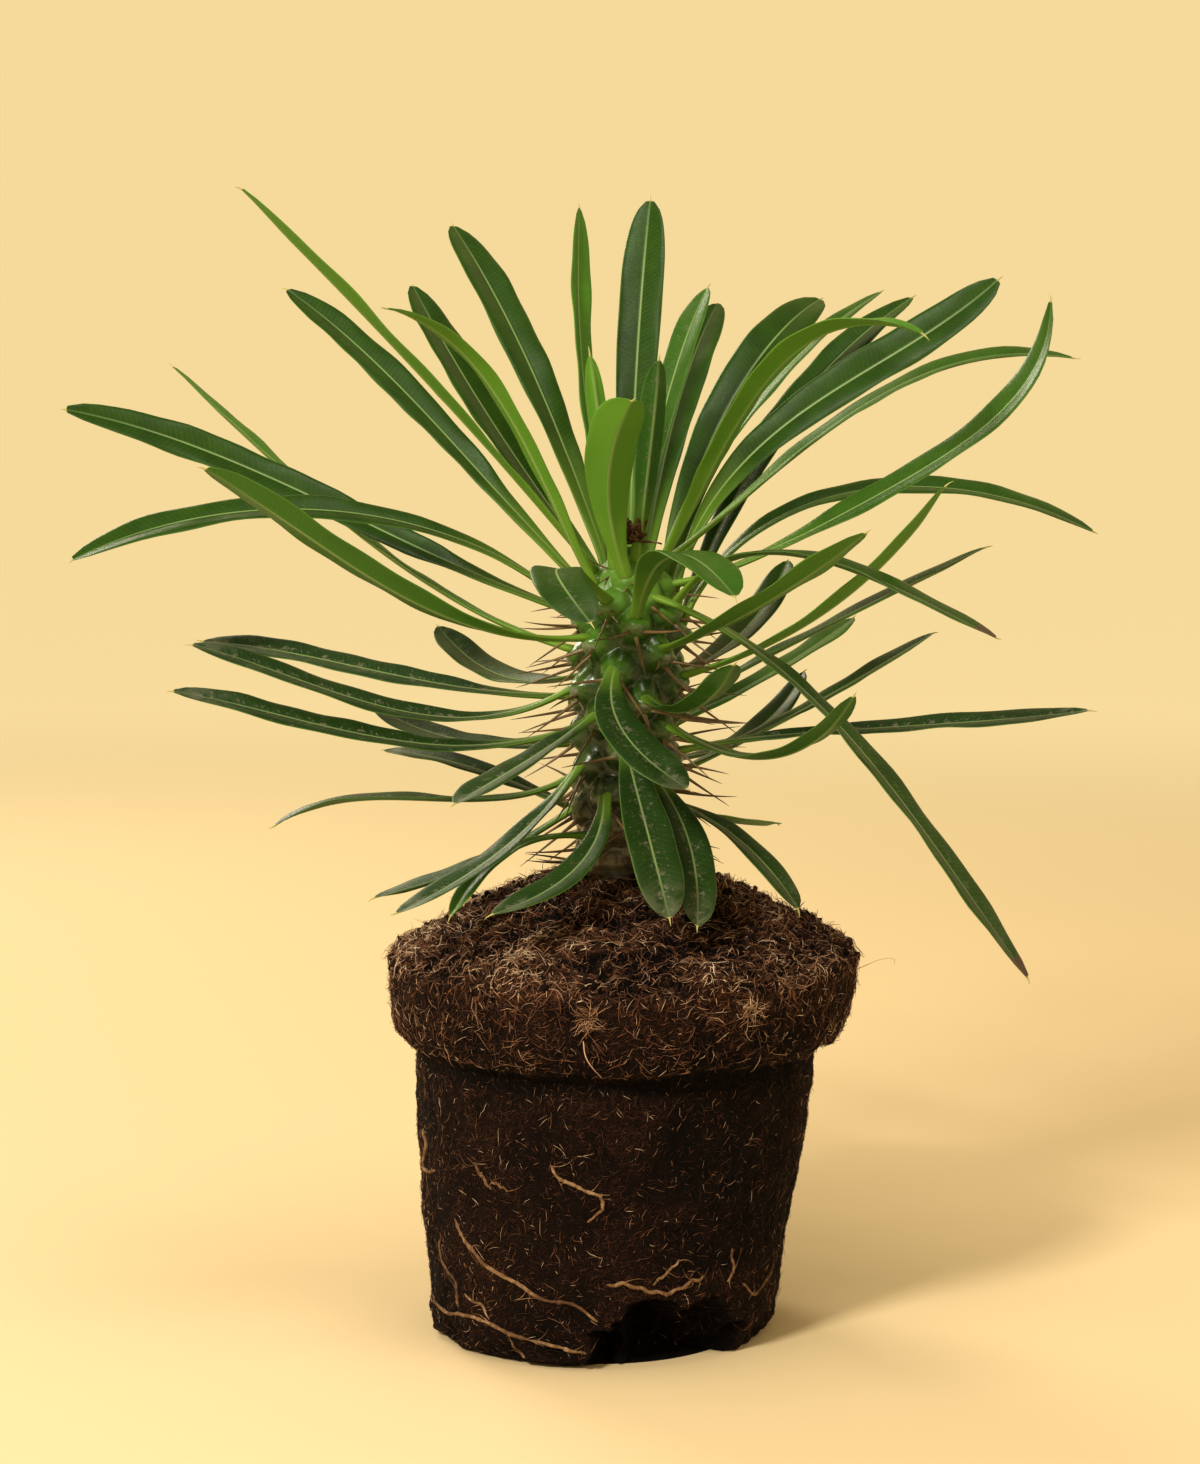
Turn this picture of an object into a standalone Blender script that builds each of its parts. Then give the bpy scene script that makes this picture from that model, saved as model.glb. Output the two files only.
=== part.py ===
"""Young madagascar palm (Pachypodium) on a bare root ball that keeps the shape of its nursery pot.

Every length in the tables below is in millimetres and is turned into metres by MM. The origin is
the centre of the root ball's flat base, +Z is up and -Y is the front. Azimuths run anticlockwise
from +X, seen from above.
"""
import math
import random

import bmesh
import bpy
import numpy as np
from mathutils import Matrix, Vector, noise

MM = 0.001
SEED = 7
SEAT_GAP = 0.3

# Root ball: height and radius of the moulded outline, from the stem's hole down to the base
BALL_HEIGHT = 117.0
BALL_OUTLINE = [
    (117.0, 12.0), (116.0, 22.0), (112.0, 33.0), (105.5, 46.0), (100.0, 56.0), (96.5, 59.6),
    (88.0, 59.4), (81.0, 58.2), (75.5, 53.0), (74.0, 51.6), (52.0, 49.6), (26.0, 46.6),
    (5.0, 44.4), (0.0, 42.5),
]
BALL_SIDES = 44
BALL_LEAN = 0.062
BALL_LUMP = 1.1
LUMP_SIZE = 9.0
FLAT_BELOW = 2.0
MOUND_ABOVE = 100.0
BREAK_CENTRE = (23.0, -42.0, 7.0)
BREAK_SIZE = (23.0, 10.0, 11.0)

# Roots on the root ball: thickness, then (azimuth, height) of each point along the root
SURFACE_ROOTS = [
    (1.3, [(190, 54), (196, 50), (192, 43), (207, 45)]),
    (1.1, [(226, 52), (231, 47), (240, 45)]),
    (1.1, [(251, 54), (256, 49), (265, 46), (267, 42), (262, 38)]),
    (1.4, [(215, 36), (222, 30), (234, 25), (247, 20), (260, 17), (271, 12)]),
    (1.2, [(204, 28), (207, 22), (216, 16), (217, 9)]),
    (1.6, [(190, 11), (205, 8), (218, 10), (232, 10), (245, 7), (258, 6), (268, 4)]),
    (1.5, [(268, 22), (278, 22), (289, 20), (303, 23)]),
    (1.2, [(284, 22), (289, 26), (294, 30)]),
    (1.3, [(311, 30), (314, 23), (325, 15), (338, 20)]),
    (1.2, [(20, 30), (32, 24), (48, 22), (60, 15)]),
    (1.4, [(82, 48), (90, 38), (104, 33), (112, 22), (128, 14)]),
    (1.2, [(140, 40), (150, 31), (148, 22), (162, 12)]),
]
ROOT_STEPS = 3
ROOT_PROUD = 0.1
ROOT_END_SUNK = 1.6
ROOT_WAVE_HEIGHT = 0.7
ROOT_WAVE_TURN = 2.1

# Stem: height and core radius from its sunk foot to the growing point
STEM_OUTLINE = [
    (97.0, 7.4), (117.5, 7.8), (121.0, 8.8), (128.0, 10.2), (140.0, 11.3), (158.0, 12.6),
    (174.0, 12.8), (186.0, 11.4), (194.0, 8.4), (199.0, 4.8), (201.5, 2.2),
]
STEM_FOOT_X = 3.6
STEM_LEAN = 4.4
LEAN_FROM = 116.0
LEAN_HEIGHT = 86.0
STEM_TIP_RISE = 0.8
STEM_SIDES = 28
STEM_RINGS = 42
RING_SPACING = 0.9
HOLE_DEPTH = 96.5
HOLE_RADIUS = 8.4
HOLE_CUTTER_LENGTH = 40.0

# Tubercles fade in above the soil
SOIL_CLEAR = 117.8
SOIL_FADE = 4.0

# Tubercles stand on one spiral; each carries a group of three spines, and most carry a leaf
GOLDEN_ANGLE = -137.508
FIRST_AZIMUTH = 60.0
CROWN_SLOTS = 22
CROWN_SPREAD = 2.5
CROWN_FROM = 174.0
CROWN_FOOT = 184.0
SLOT_RISE = 1.5
LAST_SLOT = 64
TUBERCLE_HEIGHT = 3.4
TUBERCLE_SPREAD = (3.6, 3.4)
TUBERCLE_EDGE = 9.0
YOUNG_SLOTS = 20.0
OLD_SLOTS = 16.0
OLD_SHARE = 0.45

# Spines: sideways turn and rise of the three in a group, and the turns tried to clear a blade
SPINE_FANS = [(-40.0, -4.0), (40.0, -8.0), (4.0, -34.0)]
SPINE_TURNS = (0.0, 14.0, -14.0, 28.0, -28.0, 44.0)
SPINE_WOBBLE = 7.0
SPINE_LENGTH = (14.0, 19.0)
SPINE_RADIUS = 0.62
SPINE_DROP = 1.5
SPINE_SPLAY = (0.10, 0.03)
SPINE_SUNK = 1.6
SPINE_LOWEST = 119.0
SPINE_CLEAR_ACROSS = 1.2
SPINE_CLEAR_ABOVE = 2.2
FIRST_SPINE_SLOT = 4
FULL_SPINE_SLOTS = 22.0

# Leaves: slot on the spiral, blade width, roll, and the points the rib passes through out to its
# tip, measured from the foot of the stem
LEAVES = [
    (0, 9.0, 0, [(14, 8, 240), (24, 24, 267)]),
    (1, 7.5, 0, [(9, -10, 228), (11, -14, 248)]),
    (2, 9.0, 44, [(-8, 14, 244), (-9, 34, 288)]),
    (3, 10.5, 15, [(40, 0, 220), (76, -3, 244), (114, -8, 249)]),
    (4, 5.0, 40, [(-3, -16, 226), (-6, -20, 249)]),
    (5, 11.5, 0, [(6, 36, 246), (10, 66, 292)]),
    (6, 10.5, 0, [(26, -22, 226), (51, -48, 255), (71, -62, 254)]),
    (7, 10.0, 0, [(-48, -14, 245), (-90, -30, 289)]),
    (8, 9.0, 0, [(38, 24, 239), (71, 48, 267)]),
    (9, 12.5, 0, [(-1.5, -24, 216), (4, -48, 238)]),
    (10, 12.5, 0, [(-25, 45, 253), (-44, 80, 286)]),
    (11, 11.0, 35, [(48, -8, 205), (79, -18, 223), (98, -24, 239), (106, -28, 262)]),
    (12, 7.5, 0, [(-22, -20, 228), (-41, -36, 254), (-54, -48, 260)]),
    (13, 11.5, 0, [(18, 52, 239), (29, 88, 265)]),
    (14, 11.0, 0, [(27, -22, 182), (57, -46, 157), (83, -56, 123), (98, -60, 102)]),
    (15, 11.0, -20, [(-37, 20, 222), (-62, 42, 247), (-88, 62, 268)]),
    (16, 12.5, 42, [(35, 14, 224), (73, 34, 250), (102, 46, 270)]),
    (17, 13.0, 0, [(-14, -46, 197), (-6, -66, 187)]),
    (18, 12.0, 0, [(-35, 55, 236), (-56, 92, 270)]),
    (19, 11.0, 0, [(36, -22, 201), (64, -38, 195), (91, -48, 182)]),
    (20, 11.0, -30, [(-44, -2, 205), (-82, -4, 211), (-135, -14, 199)]),
    (21, 13.0, 22, [(23, 26, 222), (41, 52, 252), (57, 78, 266)]),
    (22, 12.0, 0, [(17, -52, 198), (27, -80, 194)]),
    (23, 11.0, -45, [(-50, 16, 200), (-93, 20, 220), (-140, 10, 236)]),
    (24, 10.5, 22, [(43, 8, 209), (83, 14, 216), (123, 12, 205)]),
    (25, 11.0, 25, [(-36, -18, 183), (-69, -34, 202), (-97, -50, 222)]),
    (26, 10.5, 0, [(6, 50, 190), (12, 92, 186)]),
    (27, 10.5, 0, [(30, -46, 187), (57, -78, 208)]),
    (28, 8.5, 10, [(-50, 22, 192), (-86, 36, 219), (-118, 52, 247)]),
    (29, 11.5, 10, [(50, 42, 239), (81, 66, 266)]),
    (30, 13.5, 0, [(2, -36, 158), (17, -50, 146)]),
    (31, 11.0, -10, [(-31, 44, 165), (-48, 68, 176)]),
    (32, 9.0, 0, [(55, -16, 188), (81, -24, 217)]),
    (33, 9.5, -22, [(-42, -2, 158), (-80, -6, 168), (-106, -8, 177)]),
    (34, 10.5, 0, [(33, 42, 175), (48, 70, 194)]),
    (35, 10.0, 0, [(19, -38, 164), (28, -58, 176)]),
    (36, 9.5, -25, [(-42, 10, 165), (-82, 22, 172), (-108, 30, 175)]),
    (37, 9.0, 0, [(56, 12, 181), (96, 20, 200)]),
    (38, 10.0, 0, [(-23, -38, 150), (-38, -56, 143)]),
    (39, 10.0, 0, [(-5, 45, 160), (-8, 85, 150)]),
    (40, 9.0, 0, [(29, -32, 152), (45, -58, 157), (55, -74, 170)]),
    (41, 9.5, -25, [(-42, -4, 151), (-79, -10, 158), (-110, -16, 166)]),
    (42, 10.0, 0, [(43, 24, 168), (64, 44, 180)]),
    (43, 12.5, 0, [(7, -36, 137), (13, -52, 115)]),
    (44, 9.5, -15, [(-38, 24, 149), (-64, 46, 156)]),
    (45, 9.5, 16, [(48, 6, 153), (86, 2, 156), (120, -4, 160)]),
    (46, 10.0, 0, [(-30, -28, 126), (-53, -40, 114)]),
    (47, 9.0, 0, [(36, 38, 149), (52, 60, 164)]),
    (48, 10.0, 0, [(18, -30, 131), (20, -46, 112)]),
    (49, 8.5, 0, [(-39, -2, 137), (-70, -5, 137), (-86, -6, 131)]),
    (50, 9.0, 0, [(45, 16, 156), (84, 30, 177)]),
    (51, 10.0, 0, [(-10, -38, 124), (-29, -54, 116)]),
    (53, 10.0, 0, [(30, -20, 130), (45, -32, 114)]),
    (54, 10.0, 0, [(-36, -10, 121), (-60, -16, 114)]),
    (55, 8.0, 0, [(32, 24, 128), (44, 42, 125)]),
    (57, 9.0, -10, [(-37, 24, 142), (-61, 40, 145)]),
    (59, 7.0, 0, [(-22, -18, 128), (-40, -36, 113)]),
]
LEAF_STATIONS = [0.0, 0.07, 0.16, 0.28, 0.41, 0.54, 0.67, 0.79, 0.89, 0.96, 1.0]
LEAF_FOLD = 0.22
LEAF_WIDEST = 0.68
LEAF_SWELL = 1.25
BLUNT_FROM = 0.76
BLUNT_LENGTH = 0.245
BLUNT_POWER = 2.3
BLADE_EDGE = 0.65
BLADE_RIB = 1.1
PETIOLE_WIDTH = 2.3
PETIOLE_DEPTH = 1.9
PETIOLE_EDGE = 1.14
PETIOLE_SHARE = 0.3
ROLL_SHARE = 0.35
MUCRO_WIDTH = 1.1
FOOT_SUNK = 2.2
FOOT_RISE = 1.5

# Dried tuft at the growing point
TUFT_CENTRE = (5.8, -2.7, 203.4)
TUFT_RADIUS = 2.2
TUFT_SCALES = 12
TUFT_RISE = (5.0, 70.0)
TUFT_SCALE_START = 0.8
TUFT_SCALE_LENGTH = (3.0, 4.2)

COLOURS = {
    "root_ball": ((0.055, 0.030, 0.017), 0.95),
    "stem": ((0.115, 0.165, 0.045), 0.45),
    "crown_tuft": ((0.13, 0.065, 0.03), 0.9),
    "leaf": ((0.035, 0.105, 0.022), 0.38),
}


def clear_scene():
    for obj in list(bpy.data.objects):
        bpy.data.objects.remove(obj, do_unlink=True)


def make_collection(name):
    collection = bpy.data.collections.new(name)
    bpy.context.scene.collection.children.link(collection)
    return collection


def make_material(name, colour, roughness):
    material = bpy.data.materials.new(name)
    material.use_nodes = True
    shader = material.node_tree.nodes["Principled BSDF"]
    shader.inputs["Base Color"].default_value = (*colour, 1.0)
    shader.inputs["Roughness"].default_value = roughness
    material.diffuse_color = (*colour, 1.0)
    return material


def add_object(name, data, collection, material=None):
    obj = bpy.data.objects.new(name, data)
    collection.objects.link(obj)
    if material is not None:
        obj.data.materials.append(material)
    return obj


def mark_as_cutter(obj):
    obj.hide_render = True
    obj.display_type = "WIRE"


def evaluated_mesh(obj):
    depsgraph = bpy.context.evaluated_depsgraph_get()
    return bpy.data.meshes.new_from_object(obj.evaluated_get(depsgraph))


def bake_modifiers(obj):
    """Turns the object's modifiers into its own mesh, and removes them."""
    mesh = evaluated_mesh(obj)
    obj.modifiers.clear()
    obj.data = mesh


def join_collection(obj, repeats):
    """Unites the object with every object of a collection, which is then removed."""
    union = obj.modifiers.new("repeats", "BOOLEAN")
    union.operation = "UNION"
    union.operand_type = "COLLECTION"
    union.collection = repeats
    union.solver = "EXACT"
    bake_modifiers(obj)
    for repeat in list(repeats.objects):
        bpy.data.objects.remove(repeat, do_unlink=True)
    bpy.data.collections.remove(repeats)


def cut(obj, cutter):
    difference = obj.modifiers.new("seat", "BOOLEAN")
    difference.operation = "DIFFERENCE"
    difference.object = cutter
    difference.solver = "EXACT"


def direction(azimuth, elevation=0.0):
    a = math.radians(azimuth)
    e = math.radians(elevation)
    return Vector((math.cos(a) * math.cos(e), math.sin(a) * math.cos(e), math.sin(e)))


# Root ball

def ball_radius(z):
    heights = [point[0] for point in BALL_OUTLINE][::-1]
    radii = [point[1] for point in BALL_OUTLINE][::-1]
    return float(np.interp(z, heights, radii))


def turned_ball(collection):
    """Turns the moulded outline about Z and leans it, as the real root ball leans."""
    mesh = bpy.data.meshes.new("root_ball")
    outline = [(0.0, BALL_HEIGHT)] + [(radius, z) for z, radius in BALL_OUTLINE] + [(0.0, 0.0)]
    points = [(radius * MM, 0.0, z * MM) for radius, z in outline]
    mesh.from_pydata(points, [(i, i + 1) for i in range(len(points) - 1)], [])
    ball = add_object("root_ball", mesh, collection)
    screw = ball.modifiers.new("turn", "SCREW")
    screw.steps = BALL_SIDES
    screw.render_steps = BALL_SIDES
    screw.use_merge_vertices = True
    screw.merge_threshold = 0.00005
    bake_modifiers(ball)
    for vertex in ball.data.vertices:
        place = vertex.co / MM
        if place.z > FLAT_BELOW:
            lump = BALL_LUMP * noise.noise(place / LUMP_SIZE)
            outward = Vector((place.x, place.y, 0.0)).normalized()
            on_top = place.z > MOUND_ABOVE
            place += Vector((0.0, 0.0, lump)) if on_top else outward * lump
        place.x += BALL_LEAN * place.z
        vertex.co = place * MM
    return ball


def surface_root(name, thickness, route, collection):
    """A root laid half sunk along points given on the root ball's surface."""
    curve = bpy.data.curves.new(name, "CURVE")
    curve.dimensions = "3D"
    curve.bevel_depth = thickness / 2 * MM
    curve.bevel_resolution = 1
    curve.use_fill_caps = True
    spline = curve.splines.new("POLY")
    count = ROOT_STEPS * (len(route) - 1) + 1
    spline.points.add(count - 1)
    marks = np.arange(len(route))
    for i in range(count):
        s = i / ROOT_STEPS
        azimuth = float(np.interp(s, marks, [point[0] for point in route]))
        z = float(np.interp(s, marks, [point[1] for point in route]))
        sunk = ROOT_END_SUNK if i in (0, count - 1) else 0.0
        place = direction(azimuth) * (ball_radius(z) + thickness * ROOT_PROUD - sunk)
        place.z = z + ROOT_WAVE_HEIGHT * math.sin(ROOT_WAVE_TURN * i)
        place.x += BALL_LEAN * z
        spline.points[i].co = (*(place * MM), 1.0)
    guide = add_object(name, curve, collection)
    mesh = evaluated_mesh(guide)
    shell = bmesh.new()
    shell.from_mesh(mesh)
    bmesh.ops.remove_doubles(shell, verts=shell.verts, dist=0.00001)
    shell.to_mesh(mesh)
    shell.free()
    root = add_object(name + "_solid", mesh, collection)
    bpy.data.objects.remove(guide, do_unlink=True)
    return root


def build_root_ball(parts, cutters, material):
    ball = turned_ball(parts)
    roots = make_collection("surface_roots")
    for i, (thickness, route) in enumerate(SURFACE_ROOTS):
        surface_root("root_%02d" % i, thickness, route, roots)
    join_collection(ball, roots)

    bpy.ops.mesh.primitive_cylinder_add(
        vertices=24, radius=HOLE_RADIUS * MM, depth=HOLE_CUTTER_LENGTH * MM,
        location=(STEM_FOOT_X * MM, 0.0, (HOLE_DEPTH + HOLE_CUTTER_LENGTH / 2) * MM))
    hole = bpy.context.object
    hole.name = "stem_hole"
    bpy.ops.mesh.primitive_ico_sphere_add(
        subdivisions=2, radius=1.0, location=[MM * value for value in BREAK_CENTRE],
        scale=[MM * value for value in BREAK_SIZE])
    hollow = bpy.context.object
    hollow.name = "broken_hollow"
    for cutter in (hole, hollow):
        for collection in list(cutter.users_collection):
            collection.objects.unlink(cutter)
        cutters.objects.link(cutter)
        mark_as_cutter(cutter)
        cut(ball, cutter)
    ball.data.materials.clear()
    ball.data.materials.append(material)


# Stem

def core_radius(z):
    return float(np.interp(z, [point[0] for point in STEM_OUTLINE],
                           [point[1] for point in STEM_OUTLINE]))


def axis_x(z):
    """The stem leans a little to the right on its way up."""
    t = min(1.0, max(0.0, (z - LEAN_FROM) / LEAN_HEIGHT))
    return STEM_FOOT_X + STEM_LEAN * t * (2.0 - t)


def slot_place(index):
    """Azimuth and height of one place on the spiral, counted down from the growing point."""
    azimuth = FIRST_AZIMUTH + GOLDEN_ANGLE * index
    if index < CROWN_SLOTS:
        radius = CROWN_SPREAD * math.sqrt(index + 2.0)
        crown = [point for point in STEM_OUTLINE if point[0] >= CROWN_FROM][::-1]
        z = float(np.interp(radius, [point[1] for point in crown], [point[0] for point in crown]))
    else:
        z = CROWN_FOOT - SLOT_RISE * (index - CROWN_SLOTS + 1)
    return azimuth, z


def tubercle_size(index):
    young = min(1.0, (index + 2.0) / YOUNG_SLOTS)
    old = min(1.0, (LAST_SLOT + 4.0 - index) / OLD_SLOTS)
    return TUBERCLE_HEIGHT * young * (OLD_SHARE + (1.0 - OLD_SHARE) * old)


def stem_radius(azimuth, z):
    """Core radius plus the tubercles' bumps, which lean up a little at their tips."""
    bump = 0.0
    core = core_radius(z)
    for index in range(LAST_SLOT + 1):
        slot_azimuth, slot_z = slot_place(index)
        turn = (azimuth - slot_azimuth + 180.0) % 360.0 - 180.0
        across = math.radians(turn) * max(core, 5.0) / TUBERCLE_SPREAD[0]
        along = (z - slot_z) / TUBERCLE_SPREAD[1]
        reach = across * across + along * along
        if reach < TUBERCLE_EDGE:
            bump = max(bump, tubercle_size(index) * math.exp(-reach))
    above_soil = min(1.0, max(0.0, (z - SOIL_CLEAR) / SOIL_FADE))
    return core + bump * above_soil


def stem_mesh(name, swell):
    """Rings of the stem from foot to tip, each ring swollen outwards by the same amount."""
    mesh = bpy.data.meshes.new(name)
    shell = bmesh.new()
    low = STEM_OUTLINE[0][0]
    high = STEM_OUTLINE[-1][0]
    rings = []
    for i in range(STEM_RINGS):
        share = math.sin(math.pi / 2 * i / (STEM_RINGS - 1)) ** RING_SPACING
        z = low + (high - low) * share
        ring = []
        for k in range(STEM_SIDES):
            azimuth = 360.0 * k / STEM_SIDES
            place = direction(azimuth) * (stem_radius(azimuth, z) + swell)
            place += Vector((axis_x(z), 0.0, z))
            ring.append(shell.verts.new(place * MM))
        rings.append(ring)
    tip = shell.verts.new(Vector((axis_x(high), 0.0, high + STEM_TIP_RISE + swell)) * MM)
    for lower, upper in zip(rings, rings[1:]):
        for k in range(STEM_SIDES):
            n = (k + 1) % STEM_SIDES
            shell.faces.new((lower[k], lower[n], upper[n]))
            shell.faces.new((lower[k], upper[n], upper[k]))
    for k in range(STEM_SIDES):
        shell.faces.new((rings[-1][k], rings[-1][(k + 1) % STEM_SIDES], tip))
    shell.faces.new(rings[0][::-1])
    shell.to_mesh(mesh)
    shell.free()
    return mesh


def surface_point(azimuth, z, out=0.0):
    place = direction(azimuth) * (stem_radius(azimuth, z) + out)
    return place + Vector((axis_x(z), 0.0, z))


def spine_blocked(start, heading, length, blades):
    """True where a spine would run within a millimetre of a leaf blade."""
    for s in np.linspace(0.1, 1.0, 8):
        place = np.array(start + heading * (length * s))
        offset = place - blades["place"]
        along = np.abs(np.einsum("ij,ij->i", offset, blades["along"]))
        across = np.abs(np.einsum("ij,ij->i", offset, blades["side"]))
        above = np.abs(np.einsum("ij,ij->i", offset, blades["normal"]))
        beside = across < blades["half"] + SPINE_CLEAR_ACROSS
        if ((along < blades["step"]) & beside & (above < SPINE_CLEAR_ABOVE)).any():
            return True
    return False


def build_stem(parts, material, blades):
    rng = random.Random(SEED)
    stem = add_object("stem", stem_mesh("stem", 0.0), parts)
    spines = make_collection("spines")
    for index in range(FIRST_SPINE_SLOT, LAST_SLOT + 1):
        azimuth, z = slot_place(index)
        size = min(1.0, (index + 4.0) / FULL_SPINE_SLOTS)
        for side, rise in SPINE_FANS:
            length = size * rng.uniform(*SPINE_LENGTH)
            wobble = rng.uniform(-SPINE_WOBBLE, SPINE_WOBBLE)
            start = surface_point(azimuth + SPINE_SPLAY[0] * side,
                                  z - SPINE_DROP + SPINE_SPLAY[1] * rise, -SPINE_SUNK)
            whole = length + SPINE_SUNK
            for turn in SPINE_TURNS:
                heading = direction(azimuth + side + wobble, rise + turn)
                tip_z = (start + heading * length).z
                if tip_z > SPINE_LOWEST and not spine_blocked(start, heading, whole, blades):
                    add_spine(start, heading, whole, spines)
                    break
    join_collection(stem, spines)
    stem.data.materials.clear()
    stem.data.materials.append(material)


def add_spine(start, heading, length, collection):
    mesh = bpy.data.meshes.new("spine")
    cone = bmesh.new()
    aim = heading.to_track_quat("Z", "Y").to_matrix().to_4x4()
    place = Matrix.Translation((start + heading * (length / 2)) * MM)
    bmesh.ops.create_cone(cone, cap_ends=True, segments=3, radius1=SPINE_RADIUS * MM,
                          radius2=0.0, depth=length * MM, matrix=place @ aim)
    cone.to_mesh(mesh)
    cone.free()
    return add_object("spine", mesh, collection)


# Leaves

def leaf_half_width(t, width):
    """A strap leaf: a narrow stalk, widest past its middle, with a blunt tip and a small point."""
    rise = math.sin(math.pi / 2 * min(1.0, t / LEAF_WIDEST)) ** LEAF_SWELL
    half = (PETIOLE_WIDTH + (width - PETIOLE_WIDTH) * rise) / 2
    if t > BLUNT_FROM:
        half *= math.sqrt(max(0.0, 1.0 - ((t - BLUNT_FROM) / BLUNT_LENGTH) ** BLUNT_POWER))
    return max(half, MUCRO_WIDTH / 2)


def leaf_route(leaf):
    """The rib's points from the foot sunk in the tubercle to the tip, and how far along each is."""
    slot, points = leaf[0], leaf[3]
    azimuth, z = slot_place(slot)
    steep = max(0.0, 1.0 - slot / CROWN_SLOTS)
    foot = surface_point(azimuth, z + FOOT_RISE * (1.0 - steep),
                         -FOOT_SUNK * (1.0 - steep))
    foot.z -= FOOT_SUNK * steep
    route = [foot] + [Vector(point) + Vector((STEM_FOOT_X, 0.0, 0.0)) for point in points]
    steps = [(b - a).length for a, b in zip(route, route[1:])]
    marks = np.cumsum([0.0] + steps) / sum(steps)
    return route, marks


def rib_place(route, marks, t):
    """The one smooth curve through all the rib's points."""
    place = Vector((0.0, 0.0, 0.0))
    for i, point in enumerate(route):
        weight = 1.0
        for k, mark in enumerate(marks):
            if k != i:
                weight *= (t - mark) / (marks[i] - mark)
        place += point * weight
    return place


def leaf_frames(leaf):
    """Place, tangent, side and upper-face normal at each station along one leaf."""
    roll = math.radians(leaf[2])
    route, marks = leaf_route(leaf)
    level = Vector((route[-1].x - route[0].x, route[-1].y - route[0].y, 0.0))
    side = Vector((0.0, 0.0, 1.0)).cross(level).normalized()
    frames = []
    for t in LEAF_STATIONS:
        place = rib_place(route, marks, t)
        along = (rib_place(route, marks, t + 0.01) - rib_place(route, marks, t - 0.01)).normalized()
        normal = along.cross(side).normalized()
        true_side = normal.cross(along).normalized()
        turn = Matrix.Rotation(roll * min(1.0, t / ROLL_SHARE), 3, along)
        frames.append((place, along, turn @ true_side, turn @ normal))
    return frames


def leaf_mesh(name, leaf):
    """A closed blade folded along its rib, split into triangles alike on both faces."""
    width = leaf[1]
    shell = bmesh.new()
    rows = []
    for t, (place, along, side, normal) in zip(LEAF_STATIONS, leaf_frames(leaf)):
        half = leaf_half_width(t, width)
        stalk = max(0.0, 1.0 - t / PETIOLE_SHARE)
        lift = LEAF_FOLD * half * (1.0 - stalk)
        rib = BLADE_RIB + (PETIOLE_DEPTH - BLADE_RIB) * stalk
        edge = BLADE_EDGE + (PETIOLE_EDGE - BLADE_EDGE) * stalk
        corners = [
            place + side * half + normal * (lift + edge / 2),
            place + normal * rib / 2,
            place - side * half + normal * (lift + edge / 2),
            place - side * half + normal * (lift - edge / 2),
            place - normal * rib / 2,
            place + side * half + normal * (lift - edge / 2),
        ]
        rows.append([shell.verts.new(corner * MM) for corner in corners])
    for a, b in zip(rows, rows[1:]):
        # the upper strips and the lower strips under them share their diagonals
        for strip, flip in (((0, 1), False), ((1, 2), True), ((2, 3), False),
                            ((3, 4), False), ((4, 5), True), ((5, 0), False)):
            i, j = strip
            if flip:
                shell.faces.new((a[i], a[j], b[i]))
                shell.faces.new((a[j], b[j], b[i]))
            else:
                shell.faces.new((a[i], a[j], b[j]))
                shell.faces.new((a[i], b[j], b[i]))
    for row, order in ((rows[0], -1), (rows[-1], 1)):
        left = [row[0], row[1], row[4], row[5]][::order]
        right = [row[1], row[2], row[3], row[4]][::order]
        shell.faces.new(left)
        shell.faces.new(right)
    bmesh.ops.recalc_face_normals(shell, faces=shell.faces)
    mesh = bpy.data.meshes.new(name)
    shell.to_mesh(mesh)
    shell.free()
    return mesh


def blade_samples():
    """Points along every leaf with their frames, for keeping the spines clear of the blades."""
    rows = {"place": [], "along": [], "side": [], "normal": [], "half": [], "step": []}
    for leaf in LEAVES:
        frames = leaf_frames(leaf)
        for k in range(1, len(frames)):
            for s in (0.0, 0.5):
                place = frames[k - 1][0].lerp(frames[k][0], s)
                if (place - frames[0][0]).length < FOOT_SUNK:
                    continue
                rows["place"].append(place)
                rows["along"].append(frames[k][1])
                rows["side"].append(frames[k][2])
                rows["normal"].append(frames[k][3])
                rows["half"].append(leaf_half_width(LEAF_STATIONS[k], leaf[1]))
                rows["step"].append((frames[k][0] - frames[k - 1][0]).length * 0.5)
    return {key: np.array(value, dtype=float) for key, value in rows.items()}


def build_leaves(parts, seat, material):
    for leaf in LEAVES:
        name = "leaf_%02d" % (leaf[0] + 1)
        blade = add_object(name, leaf_mesh(name, leaf), parts, material)
        cut(blade, seat)


# Dried tuft

def build_tuft(parts, seat, material):
    rng = random.Random(SEED + 1)
    mesh = bpy.data.meshes.new("crown_tuft")
    core = bmesh.new()
    bmesh.ops.create_icosphere(core, subdivisions=1, radius=TUFT_RADIUS * MM)
    bmesh.ops.translate(core, verts=core.verts, vec=Vector(TUFT_CENTRE) * MM)
    core.to_mesh(mesh)
    core.free()
    tuft = add_object("crown_tuft", mesh, parts)
    scales = make_collection("dried_scales")
    centre = Vector(TUFT_CENTRE)
    for i in range(TUFT_SCALES):
        heading = direction(-GOLDEN_ANGLE * i, rng.uniform(*TUFT_RISE))
        start = centre + heading * TUFT_SCALE_START
        add_spine(start, heading, rng.uniform(*TUFT_SCALE_LENGTH), scales)
    join_collection(tuft, scales)
    tuft.data.materials.clear()
    tuft.data.materials.append(material)
    cut(tuft, seat)


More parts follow.
